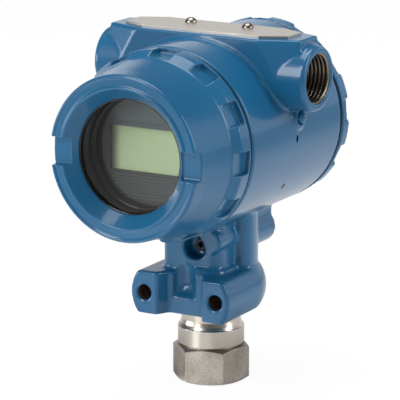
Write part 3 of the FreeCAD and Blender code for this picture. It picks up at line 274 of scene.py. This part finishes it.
# ---- Housing ----
# Low-copper aluminium die casting under a satin blue polyurethane paint. The paint rounds each
# edge and has a faint orange peel. Bores are machined bare.
def painted(name, bare=None, seam=None, under=("#77716a", "#a09a92", 1.0, 0.38)):
    """Blue paint; bare adds the nodes of its unpainted share, seam those of a line and of painted shade in
    two slots.

    under is the finish of the unpainted share: two colours, metallic and roughness."""
    made, tree = material(name)
    where = add(tree, "ShaderNodeTexCoord")
    peel = add(tree, "ShaderNodeTexNoise", {"Vector": where.outputs["Object"], "Scale": 1 / (1.6 * MM),
                                            "Detail": 2.0, "Roughness": 0.5})
    cloud = add(tree, "ShaderNodeTexNoise", {"Vector": where.outputs["Object"], "Scale": 1 / (28 * MM),
                                             "Detail": 0.0})
    colour = add(tree, "ShaderNodeMixRGB", {"Fac": cloud.outputs[0], "Color1": linear("#144f74"),
                                            "Color2": linear("#195a80")})
    gloss = add(tree, "ShaderNodeMapRange", {0: cloud.outputs[0], 3: 0.285, 4: 0.335})
    bump = add(tree, "ShaderNodeBump", {"Height": peel.outputs[0], "Distance": 0.02 * MM,
                                        "Strength": 0.15})
    if seam:
        line, painted_slot_shade = seam(tree, where)
        bump = add(tree, "ShaderNodeBump", {"Height": line, "Distance": 0.12 * MM,
                                            "Normal": bump.outputs[0]})
    paint = add(tree, "ShaderNodeBsdfPrincipled", {"Base Color": colour.outputs[0],
                                                   "Roughness": gloss.outputs[0],
                                                   "Specular IOR Level": 0.25,
                                                   "Coat Weight": 0.4, "Coat Roughness": 0.05,
                                                   "Normal": bump.outputs[0]})
    surface = paint
    if seam:
        # A matt near-black mixed over the slots is painted shade in their hollows.
        shade = add(tree, "ShaderNodeBsdfDiffuse", {"Color": linear("#04080c")})
        surface = add(tree, "ShaderNodeMixShader", {0: painted_slot_shade, 1: paint.outputs[0], 2: shade.outputs[0]})
    if bare:
        share, ridge = bare(tree, where)
        first, second, metallic, rough = under
        tool_marks = add(tree, "ShaderNodeBump", {"Height": ridge, "Distance": 0.25 * MM})
        tarnish = add(tree, "ShaderNodeMixRGB", {"Fac": cloud.outputs[0], "Color1": linear(first),
                                                 "Color2": linear(second)})
        plain = add(tree, "ShaderNodeBsdfPrincipled", {"Base Color": tarnish.outputs[0],
                                                       "Metallic": metallic, "Roughness": rough,
                                                       "Normal": tool_marks.outputs[0]})
        surface = add(tree, "ShaderNodeMixShader", {0: share, 1: surface.outputs[0], 2: plain.outputs[0]})
    add(tree, "ShaderNodeOutputMaterial", {"Surface": surface.outputs[0]})
    return made


AXIS_Z = 108.4 * MM
CONDUIT_Y = 1.0 * MM
CONDUIT_Z = 133.6 * MM
ALONG_X = (0, 1, 1)
ALONG_Y = (1, 0, 1)


def inside(tree, where, centre, across, radius):
    """1 within a radius of centre; across is 0 on the axis that a bore runs along."""
    moved = add(tree, "ShaderNodeVectorMath", {0: where.outputs["Object"], 1: centre}, operation="SUBTRACT")
    moved = add(tree, "ShaderNodeVectorMath", {0: moved.outputs[0], 1: across}, operation="MULTIPLY")
    away = add(tree, "ShaderNodeVectorMath", {0: moved.outputs[0]}, operation="LENGTH")
    return add(tree, "ShaderNodeMath", {0: away.outputs["Value"], 1: radius}, operation="LESS_THAN")


COVER_BORE_R = 36.1 * MM
COVER_THREAD_PITCH = 2.0 * MM
CONDUIT_BORE_R = 10.45 * MM
BRACKET_HOLE_X = 17 * MM
BRACKET_HOLE_Z = 41 * MM
BRACKET_HOLE_R = 3.3 * MM
BRACKET_HOLE_END_Y = -12 * MM


def machined_bores(tree, where):
    """The share of cover threads, conduit entries and bracket holes, and the cover thread's ridge."""
    barrel = inside(tree, where, (0, 0, AXIS_Z), ALONG_Y, COVER_BORE_R)
    conduit = inside(tree, where, (0, CONDUIT_Y, CONDUIT_Z), ALONG_X, CONDUIT_BORE_R)
    share = add(tree, "ShaderNodeMath", {0: barrel.outputs[0], 1: conduit.outputs[0]}, operation="MAXIMUM")
    place = add(tree, "ShaderNodeSeparateXYZ", {0: where.outputs["Object"]})
    front = add(tree, "ShaderNodeMath", {0: place.outputs["Y"], 1: BRACKET_HOLE_END_Y},
                operation="LESS_THAN")
    for x in (-BRACKET_HOLE_X, BRACKET_HOLE_X):
        hole = inside(tree, where, (x, 0, BRACKET_HOLE_Z), ALONG_Y, BRACKET_HOLE_R)
        hole = add(tree, "ShaderNodeMath", {0: hole.outputs[0], 1: front.outputs[0]}, operation="MULTIPLY")
        share = add(tree, "ShaderNodeMath", {0: share.outputs[0], 1: hole.outputs[0]}, operation="MAXIMUM")
    ridge = add(tree, "ShaderNodeTexWave", {"Vector": where.outputs["Object"],
                                            "Scale": WAVE_LENGTH / COVER_THREAD_PITCH},
                bands_direction="Y", wave_profile="TRI")
    return share.outputs[0], ridge.outputs["Fac"]


SEAM_Y = 2.4 * MM
SEAM_HALF_WIDTH = 0.4 * MM
SEAM_FROM_X = 30 * MM
SEAM_TOP_Z = AXIS_Z + 4 * MM
SLOT_Y = 2.2 * MM
SLOT_HALF_WIDTH = 0.8 * MM
SLOT_STRETCH = (0.5, 1.0, 0.5)  # twice as long round the barrel as along it
UPPER_SLOT = (39.6 * MM, SLOT_Y, 107.3 * MM)
LOWER_SLOT = (33.1 * MM, SLOT_Y, 86.6 * MM)


def parting_line(tree, where):
    """The raised line where the casting tool's halves met, and the share of painted shade in its two slots.
    """
    place = add(tree, "ShaderNodeSeparateXYZ", {0: where.outputs["Object"]})
    off = add(tree, "ShaderNodeMath", {0: place.outputs["Y"], 1: SEAM_Y}, operation="SUBTRACT")
    off = add(tree, "ShaderNodeMath", {0: off.outputs[0]}, operation="ABSOLUTE")
    line = add(tree, "ShaderNodeMapRange", {0: off.outputs[0], 1: 0.0, 2: SEAM_HALF_WIDTH, 3: 1.0, 4: 0.0})
    right = add(tree, "ShaderNodeMath", {0: place.outputs["X"], 1: SEAM_FROM_X}, operation="GREATER_THAN")
    low = add(tree, "ShaderNodeMath", {0: place.outputs["Z"], 1: SEAM_TOP_Z}, operation="LESS_THAN")
    line = add(tree, "ShaderNodeMath", {0: line.outputs[0], 1: right.outputs[0]}, operation="MULTIPLY")
    line = add(tree, "ShaderNodeMath", {0: line.outputs[0], 1: low.outputs[0]}, operation="MULTIPLY")
    # The two slots are painted dark: painted shade where their hollows are.
    upper = inside(tree, where, UPPER_SLOT, SLOT_STRETCH, SLOT_HALF_WIDTH)
    lower = inside(tree, where, LOWER_SLOT, SLOT_STRETCH, SLOT_HALF_WIDTH)
    painted_slot_shade = add(tree, "ShaderNodeMath", {0: upper.outputs[0], 1: lower.outputs[0]}, operation="MAXIMUM")
    return line.outputs[0], painted_slot_shade.outputs[0]


def eased(piece, passes):
    """Add a smoothing modifier."""
    ease = piece.modifiers.new("ease", "SMOOTH")
    ease.iterations = passes
    ease.factor = 0.5


def settled(piece):
    """Turn a piece's modifiers into its mesh."""
    before = piece.data
    seen_by = bpy.context.evaluated_depsgraph_get()
    after = bpy.data.meshes.new_from_object(piece.evaluated_get(seen_by), depsgraph=seen_by)
    piece.modifiers.clear()
    piece.data = after
    bpy.data.meshes.remove(before)


WELD_GAP = 0.001 * MM


def webbed(node, webs):
    """The node's solid in a bmesh, with prisms that fill its hollows.

    Each web is an outline and the vector it runs along, in mm."""
    solid = bmesh.new()
    solid.from_mesh(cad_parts[node].data)
    bmesh.ops.remove_doubles(solid, verts=solid.verts, dist=WELD_GAP)
    for outline, along in webs:
        near_end = [solid.verts.new(Vector(point) * MM) for point in outline]
        far_end = [solid.verts.new((Vector(point) + Vector(along)) * MM) for point in outline]
        walls = [solid.faces.new((near_end[i - 1], near_end[i], far_end[i], far_end[i - 1]))
                 for i in range(len(outline))]
        walls += [solid.faces.new(near_end[::-1]), solid.faces.new(far_end)]
        bmesh.ops.recalc_face_normals(solid, faces=walls)
    return solid


SNAP_GAP = 0.06 * MM
POLISH_PASSES = 2


def cast_skin(name, node, body, grid_mm, passes, kept_share, made, webs=()):
    """The node's solid with every edge and corner rounded, as a die casting under paint has them.

    More passes round them more; kept_share is the share of triangles that is kept."""
    solid = webbed(node, webs)
    sharp = bpy.data.meshes.new(name + "_sharp")
    solid.to_mesh(sharp)
    faces = BVHTree.FromBMesh(solid)
    solid.free()
    piece = linked(name, sharp)
    remesh = piece.modifiers.new("grid", "REMESH")
    remesh.mode = "VOXEL"
    remesh.voxel_size = grid_mm * MM
    eased(piece, passes)
    settled(piece)
    # Flat and round faces go back exactly on the solid; only the eased edges stay off it.
    for corner in piece.data.vertices:
        near, _, _, gap = faces.find_nearest(corner.co)
        if gap < SNAP_GAP:
            corner.co = near
    eased(piece, POLISH_PASSES)
    fewer = piece.modifiers.new("fewer", "DECIMATE")
    fewer.ratio = kept_share
    settled(piece)
    piece.data.name = name
    piece.data.materials.clear()
    piece.data.materials.append(made)
    for facet in piece.data.polygons:
        facet.use_smooth = True
        facet.material_index = 0
    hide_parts(node)
    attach(piece, body)


# The casting is blended where the round back of the neck meets its flat front, and where the
# scoop between the bracket pads runs out. These sizes are in mm, as a web's are.
SHOULDER_X = 15.2
SHOULDER_R = 4.7
SHOULDER_FOOT_Z = 49.0
SHOULDER_HEIGHT = 28
SCOOP_LEFT_X = -6.9
SCOOP_WIDTH = 11.4
SCOOP_FLOOR_Y = -16.8
SCOOP_FRONT_Y = -20.9
SCOOP_END_Z = 39.0
SCOOP_RUN = 6.5                 # radius of the curve that the scoop runs out in
WEB_ROOT = 1                    # how far that web is sunk in the casting
turns = [math.tau * i / 32 for i in range(32)]
neck_webs = [([(side * SHOULDER_X + SHOULDER_R * math.cos(a), SHOULDER_R * math.sin(a), SHOULDER_FOOT_Z)
               for a in turns], (0, 0, SHOULDER_HEIGHT)) for side in (-1, 1)]
curve = [math.pi / 2 * i / 12 for i in range(13)]
run_out = [(SCOOP_FLOOR_Y - SCOOP_RUN + SCOOP_RUN * math.cos(a),
            SCOOP_END_Z + SCOOP_RUN - SCOOP_RUN * math.sin(a)) for a in curve]
run_out += [(SCOOP_FLOOR_Y - SCOOP_RUN, SCOOP_END_Z - WEB_ROOT),
            (SCOOP_FLOOR_Y + WEB_ROOT, SCOOP_END_Z - WEB_ROOT),
            (SCOOP_FLOOR_Y + WEB_ROOT, SCOOP_END_Z + SCOOP_RUN)]
scoop_web = ([(SCOOP_LEFT_X, max(y, SCOOP_FRONT_Y), z) for y, z in run_out], (SCOOP_WIDTH, 0, 0))
housing_paint = painted("blue_polyurethane_paint_on_die_casting", machined_bores, parting_line)
cast_skin("housing_casting", "housing", "housing",
          grid_mm=0.7, passes=5, kept_share=0.6, made=housing_paint, webs=neck_webs + [scoop_web])


# ---- Side screw ----
# The painted button-head screw that seals the tapped hole in the right side of the barrel. Its
# full round head stands out of the recess, where it catches the light.
def shaped(name, form, made):
    """An object from a bmesh, smooth and in one finish."""
    mesh = bpy.data.meshes.new(name)
    form.to_mesh(mesh)
    form.free()
    for facet in mesh.polygons:
        facet.use_smooth = True
    mesh.materials.append(made)
    return linked(name, mesh)


SCREW_HEAD_R = 2.5 * MM
SCREW_HEAD_CENTRE = (40.2 * MM, 4.0 * MM, AXIS_Z + 7.8 * MM)
cover_paint = painted("blue_polyurethane_paint")
dome = bmesh.new()
bmesh.ops.create_uvsphere(dome, u_segments=32, v_segments=16, radius=SCREW_HEAD_R)
bmesh.ops.translate(dome, verts=dome.verts, vec=SCREW_HEAD_CENTRE)
screw_head = shaped("side_screw_head", dome, cover_paint)
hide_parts("side_screw")
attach(screw_head, "housing")

# ---- Conduit threads ----
# 1/2-14 NPT threads tapped in the two conduit entries, bare metal with a brown cast of cutting oil.
# One Geometry Nodes tree sweeps a ridge along a helix; its sizes are the tree's inputs.
thread_tree = bpy.data.node_groups.new("screw_thread", "GeometryNodeTree")
for name, kind in (("Radius", "Float"), ("Pitch", "Float"), ("Turns", "Float"), ("Ridge", "Float"),
                   ("Start", "Vector"), ("Turn", "Vector"), ("Finish", "Material")):
    thread_tree.interface.new_socket(name, in_out="INPUT", socket_type="NodeSocket" + kind)
thread_tree.interface.new_socket("Geometry", in_out="OUTPUT", socket_type="NodeSocketGeometry")
given = add(thread_tree, "NodeGroupInput").outputs
length = add(thread_tree, "ShaderNodeMath", {0: given["Pitch"], 1: given["Turns"]}, operation="MULTIPLY")
helix = add(thread_tree, "GeometryNodeCurveSpiral", {"Resolution": 64, "Rotations": given["Turns"],
                                                     "Start Radius": given["Radius"],
                                                     "End Radius": given["Radius"],
                                                     "Height": length.outputs[0], "Reverse": True})
upright = add(thread_tree, "GeometryNodeSetCurveNormal", {"Curve": helix.outputs[0]}, mode="Z_UP")
section = add(thread_tree, "GeometryNodeCurvePrimitiveCircle", {"Resolution": 4, "Radius": given["Ridge"]})
swept = add(thread_tree, "GeometryNodeCurveToMesh", {"Curve": upright.outputs[0],
                                                     "Profile Curve": section.outputs[0],
                                                     "Fill Caps": True})
placed = add(thread_tree, "GeometryNodeTransform", {"Geometry": swept.outputs[0],
                                                    "Translation": given["Start"],
                                                    "Rotation": given["Turn"]})
real = add(thread_tree, "GeometryNodeRealizeInstances", {"Geometry": placed.outputs[0]})
finished = add(thread_tree, "GeometryNodeSetMaterial", {"Geometry": real.outputs[0],
                                                        "Material": given["Finish"]})
add(thread_tree, "NodeGroupOutput", {"Geometry": finished.outputs[0]})


def grown(name, tree, values):
    """A plain mesh object made by a Geometry Nodes tree with those input values."""
    seed = linked(name + "_seed", bpy.data.meshes.new(name + "_seed"))
    modifier = seed.modifiers.new("grow", "NODES")
    modifier.node_group = tree
    for socket in tree.interface.items_tree:
        if socket.in_out == "INPUT" and socket.name in values:
            modifier[socket.identifier] = values[socket.name]
    seen_by = bpy.context.evaluated_depsgraph_get()
    mesh = bpy.data.meshes.new_from_object(seed.evaluated_get(seen_by), depsgraph=seen_by)
    bpy.data.objects.remove(seed)
    mesh.name = name
    return linked(name, mesh)


NPT_PITCH = 25.4 / 14 * MM
THREAD_R = 10.4 * MM
THREAD_TURNS = 10.5
THREAD_RIDGE = 0.95 * MM
THREAD_END_X = 48.9 * MM
QUARTER_TURN = math.pi / 2
tapped_metal = bare_metal("tapped_aluminium", "#a39a8d", "#6d655b", 0.3, 0.6, 0.02, 0.1)
for side, name in ((1, "conduit_thread_right"), (-1, "conduit_thread_left")):
    thread = grown(name, thread_tree, {"Radius": THREAD_R, "Pitch": NPT_PITCH, "Turns": THREAD_TURNS,
                                       "Ridge": THREAD_RIDGE,
                                       "Start": (side * THREAD_END_X, CONDUIT_Y, CONDUIT_Z),
                                       "Turn": (0, -side * QUARTER_TURN, 0), "Finish": tapped_metal})
    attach(thread, "housing")

# ---- Name plate and screws ----
# A blank plate of 1 mm stainless sheet, brushed along its length and held by two drive screws
# hammered into the pad. The lock screw in the neck is black.
brushed_plate, tree = material("brushed_stainless_sheet")
where = add(tree, "ShaderNodeTexCoord")
along = add(tree, "ShaderNodeMapping", {"Vector": where.outputs["Object"], "Scale": (0.02, 1.0, 1.0)})
brush = add(tree, "ShaderNodeTexNoise", {"Vector": along.outputs[0], "Scale": 1 / (0.35 * MM),
                                         "Detail": 4.0, "Roughness": 0.65})
colour = add(tree, "ShaderNodeMixRGB", {"Fac": brush.outputs[0], "Color1": linear("#b5aea5"),
                                        "Color2": linear("#dfdad3")})
gloss = add(tree, "ShaderNodeMapRange", {0: brush.outputs[0], 1: 0.3, 2: 0.7, 3: 0.29, 4: 0.42})
round_edge = add(tree, "ShaderNodeBevel", {"Radius": 0.2 * MM}, samples=6)
bump = add(tree, "ShaderNodeBump", {"Height": brush.outputs[0], "Distance": 0.01 * MM,
                                    "Normal": round_edge.outputs[0]})
steel = add(tree, "ShaderNodeBsdfPrincipled", {"Base Color": colour.outputs[0], "Metallic": 1.0,
                                               "Roughness": gloss.outputs[0], "Normal": bump.outputs[0]})
add(tree, "ShaderNodeOutputMaterial", {"Surface": steel.outputs[0]})
dress("nameplate", brushed_plate)
dress("nameplate_screws", bare_metal("zinc_plated_steel", "#b5aea4", "#8b8379", 0.28, 0.5, 0.02, 0.15))
dress("lock_screw", bare_metal("black_oxide_steel", "#3a3d42", "#202226", 0.35, 0.4, 0.02, 0.1))

# ---- Covers and seals ----
# The two screw covers are cast and painted like the housing. A nitrile O-ring under each flange
# shows as a thin black line.
SEAT_R = 26.9 * MM
SEAT_FRONT_Y = -65.4 * MM


def window_seat(tree, where):
    """The share of the bore that holds the glass, black with sealing compound, and no relief."""
    place = add(tree, "ShaderNodeSeparateXYZ", {0: where.outputs["Object"]})
    bore = inside(tree, where, (0, 0, AXIS_Z), ALONG_Y, SEAT_R)
    back = add(tree, "ShaderNodeMath", {0: place.outputs["Y"], 1: SEAT_FRONT_Y}, operation="GREATER_THAN")
    share = add(tree, "ShaderNodeMath", {0: bore.outputs[0], 1: back.outputs[0]}, operation="MULTIPLY")
    level = add(tree, "ShaderNodeValue")
    return share.outputs[0], level.outputs[0]


window_cover_paint = painted("blue_paint_with_black_window_seat", window_seat,
                             under=("#0c0c10", "#131318", 0.0, 0.38))
cast_skin("display_cover_casting", "display_cover", "display_cover",
          grid_mm=0.4, passes=2, kept_share=0.42, made=window_cover_paint)
cast_skin("terminal_cover_casting", "terminal_cover", "terminal_cover",
          grid_mm=0.5, passes=3, kept_share=0.8, made=cover_paint)


def dull(name, light, dark, rough, grain_mm, depth_mm, specular=0.5):
    """Moulded plastic, rubber or resin with a fine even texture."""
    made, tree = material(name)
    where = add(tree, "ShaderNodeTexCoord")
    grain = add(tree, "ShaderNodeTexNoise", {"Vector": where.outputs["Object"],
                                             "Scale": 1 / (grain_mm * MM), "Detail": 3.0})
    colour = add(tree, "ShaderNodeMixRGB", {"Fac": grain.outputs[0], "Color1": linear(dark),
                                            "Color2": linear(light)})
    gloss = add(tree, "ShaderNodeMapRange", {0: grain.outputs[0], 1: 0.3, 2: 0.7,
                                             3: rough - 0.03, 4: rough + 0.03})
    round_edge = add(tree, "ShaderNodeBevel", {"Radius": 0.15 * MM}, samples=4)
    bump = add(tree, "ShaderNodeBump", {"Height": grain.outputs[0], "Distance": depth_mm * MM,
                                        "Strength": 0.5, "Normal": round_edge.outputs[0]})
    body = add(tree, "ShaderNodeBsdfPrincipled", {"Base Color": colour.outputs[0],
                                                  "Roughness": gloss.outputs[0],
                                                  "Specular IOR Level": specular,
                                                  "Normal": bump.outputs[0]})
    add(tree, "ShaderNodeOutputMaterial", {"Surface": body.outputs[0]})
    return made


nitrile = dull("moulded_nitrile_rubber", "#0c0e12", "#06070a", 0.6, 0.6, 0.01, 0.15)
for node in ("display_cover_oring", "terminal_cover_oring"):
    dress(node, nitrile)
dress("window_retainer", dull("black_anodised_aluminium", "#161619", "#111114", 0.2, 2.0, 0.002))

# ---- Window ----
# A thick disc of toughened glass, clear; its rim is bedded in the cover's black sealing
# compound and takes that look. Light passes it without a shadow, so the display is lit.
GLASS_FACE_R = 26.2 * MM
clear_glass, tree = material("toughened_glass")
path = add(tree, "ShaderNodeLightPath")
edge = add(tree, "ShaderNodeFresnel", {"IOR": 1.5})
through = add(tree, "ShaderNodeBsdfTransparent", {"Color": linear("#f7f9f8")})
mirror = add(tree, "ShaderNodeBsdfGlossy", {"Roughness": 0.02})
share = add(tree, "ShaderNodeMath", {0: edge.outputs[0], 1: 0.6}, operation="MULTIPLY")
pane = add(tree, "ShaderNodeMixShader", {0: share.outputs[0], 1: through.outputs[0], 2: mirror.outputs[0]})
shown = add(tree, "ShaderNodeMixShader", {0: path.outputs["Is Shadow Ray"], 1: pane.outputs[0],
                                          2: through.outputs[0]})
where = add(tree, "ShaderNodeTexCoord")
face = inside(tree, where, (0, 0, AXIS_Z), ALONG_Y, GLASS_FACE_R)
shown = add(tree, "ShaderNodeMixShader", {0: face.outputs[0], 1: through.outputs[0], 2: shown.outputs[0]})
add(tree, "ShaderNodeOutputMaterial", {"Surface": shown.outputs[0]})
dress("window_glass", clear_glass)

# ---- Display ----
# A moulded dark grey body, lighter above than where the ribs are, with painted shade in the grooves
# between the ribs and painted shade over its left side. Behind its window is a liquid-crystal panel,
# switched off: pale green, with painted shadow over its left edge.
RIB_FRONT_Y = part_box("display_bezel")[0][1]
RIB_TOP_Y = RIB_FRONT_Y + 0.05 * MM
GROOVE_Y = RIB_FRONT_Y + 0.3 * MM
BODY_SHADED_X = -19 * MM
BODY_LIT_X = -10 * MM
PANEL_SHADED_X = -17.5 * MM
PANEL_LIT_X = -12.0 * MM
body_grey, tree = material("moulded_grey_abs")
where = add(tree, "ShaderNodeTexCoord")
place = add(tree, "ShaderNodeSeparateXYZ", {0: where.outputs["Object"]})
grain = add(tree, "ShaderNodeTexNoise", {"Vector": where.outputs["Object"], "Scale": 1 / (1.8 * MM),
                                         "Detail": 1.0})
# Painted shade in the grooves between the ribs.
painted_groove_shade = add(tree, "ShaderNodeMapRange", {0: place.outputs["Y"], 1: RIB_TOP_Y, 2: GROOVE_Y})
ribbed = add(tree, "ShaderNodeMixRGB", {"Fac": painted_groove_shade.outputs[0], "Color1": linear("#363b3f"),
                                        "Color2": linear("#0d0f11")})
upper = add(tree, "ShaderNodeMapRange", {0: place.outputs["Z"], 1: AXIS_Z, 2: AXIS_Z + 3 * MM})
colour = add(tree, "ShaderNodeMixRGB", {"Fac": upper.outputs[0], "Color1": ribbed.outputs[0],
                                        "Color2": linear("#535a5e")})
# Painted shade over the left side of the body.
painted_left_shade = add(tree, "ShaderNodeMapRange", {0: place.outputs["X"], 1: BODY_SHADED_X, 2: BODY_LIT_X,
                                       3: 0.1, 4: 1.0},
          interpolation_type="SMOOTHSTEP")
colour = add(tree, "ShaderNodeMixRGB", {"Fac": painted_left_shade.outputs[0], "Color1": linear("#0e0f12"),
                                        "Color2": colour.outputs[0]})
tint = add(tree, "ShaderNodeMixRGB", {"Fac": 0.05, "Color1": colour.outputs[0], "Color2": grain.outputs[0]},
           blend_type="OVERLAY")
bump = add(tree, "ShaderNodeBump", {"Height": grain.outputs[0], "Distance": 0.01 * MM, "Strength": 0.3})
shell = add(tree, "ShaderNodeBsdfPrincipled", {"Base Color": tint.outputs[0], "Roughness": 0.42,
                                               "Normal": bump.outputs[0]})
add(tree, "ShaderNodeOutputMaterial", {"Surface": shell.outputs[0]})
dress("display_bezel", body_grey)

panel, tree = material("liquid_crystal_panel")
where = add(tree, "ShaderNodeTexCoord")
cloud = add(tree, "ShaderNodeTexNoise", {"Vector": where.outputs["Object"], "Scale": 1 / (12 * MM)})
colour = add(tree, "ShaderNodeMixRGB", {"Fac": cloud.outputs[0], "Color1": linear("#b3c397"),
                                        "Color2": linear("#bdcca3")})
place = add(tree, "ShaderNodeSeparateXYZ", {0: where.outputs["Object"]})
# Painted shadow over the left edge of the panel.
painted_left_shade = add(tree, "ShaderNodeMapRange", {0: place.outputs["X"], 1: PANEL_SHADED_X, 2: PANEL_LIT_X,
                                       3: 0.05, 4: 1.0},
          interpolation_type="SMOOTHSTEP")
shaded = add(tree, "ShaderNodeMixRGB", {"Fac": painted_left_shade.outputs[0], "Color1": linear("#2c3129"),
                                        "Color2": colour.outputs[0]})
film = add(tree, "ShaderNodeBsdfPrincipled", {"Base Color": shaded.outputs[0], "Roughness": 0.35})
add(tree, "ShaderNodeOutputMaterial", {"Surface": film.outputs[0]})
dress("lcd_panel", panel)


# ---- Rings round the window and the display ----
# The gasket holds the glass, a bead of the sealing compound closes the corner between the glass
# and the cover, and a glossy rim stands up round the face of the display.
def turned(name, body, profile, made, instead_of=None):
    """A ring about the cover axis from its profile of radius and Y, in mm."""
    steps = 160
    ring = bmesh.new()
    rows = []
    for i in range(steps):
        angle = math.tau * i / steps
        rows.append([ring.verts.new((r * MM * math.cos(angle), y * MM, AXIS_Z + r * MM * math.sin(angle)))
                     for r, y in profile])
    for i in range(steps):
        row = rows[i]
        following = rows[(i + 1) % steps]
        for j in range(len(profile)):
            after = (j + 1) % len(profile)
            ring.faces.new((row[j], row[after], following[after], following[j]))
    bmesh.ops.recalc_face_normals(ring, faces=ring.faces)
    piece = shaped(name, ring, made)
    if instead_of:
        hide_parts(instead_of)
    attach(piece, body)


sealant = dull("black_sealing_compound", "#17171b", "#131316", 0.2, 2.0, 0.002)
turned("window_gasket_ring", "display_cover",
       ((27.05, -65.0), (23.9, -65.0), (23.9, -64.35), (26.3, -64.35), (26.3, -57.4), (24.4, -57.4),
        (24.4, -57.2), (27.05, -57.2)), sealant, "window_gasket")
turned("window_bead", "display_cover",
       ((23.56, -65.03), (23.0, -65.03), (23.05, -65.2), (23.15, -65.35), (23.3, -65.46), (23.56, -65.52)),
       sealant)
turned("display_rim", "display_carrier",
       ((23.9, -53.03), (23.9, -56.0), (23.7, -56.3), (23.3, -56.4), (22.8, -56.1), (22.4, -55.5),
        (22.2, -54.6), (22.1, -53.03)), sealant)

# ---- Inside the two chambers ----
# Black moulded plastic for the terminal block and round the electronics, green boards, and
# nickel-plated terminal and ground screws.
moulded_black = dull("moulded_black_nylon", "#1f2022", "#141517", 0.45, 0.4, 0.01)
for node in ("electronics_cup", "potting", "display_spacer", "terminal_block", "feedthrough"):
    dress(node, moulded_black)
solder_resist = dull("green_solder_resist", "#1f6b3c", "#155230", 0.3, 1.2, 0.01)
for node in ("sensor_board", "electronics_board", "display_board"):
    dress(node, solder_resist)
dress("ribbon", dull("grey_flat_cable", "#b9b8b2", "#9d9c96", 0.5, 0.6, 0.01))
nickel = bare_metal("nickel_plated_brass", "#c9c4b8", "#a7a196", 0.25, 0.5, 0.01, 0.12)
for node in ("terminal_screws", "ground_screw"):
    dress(node, nickel)
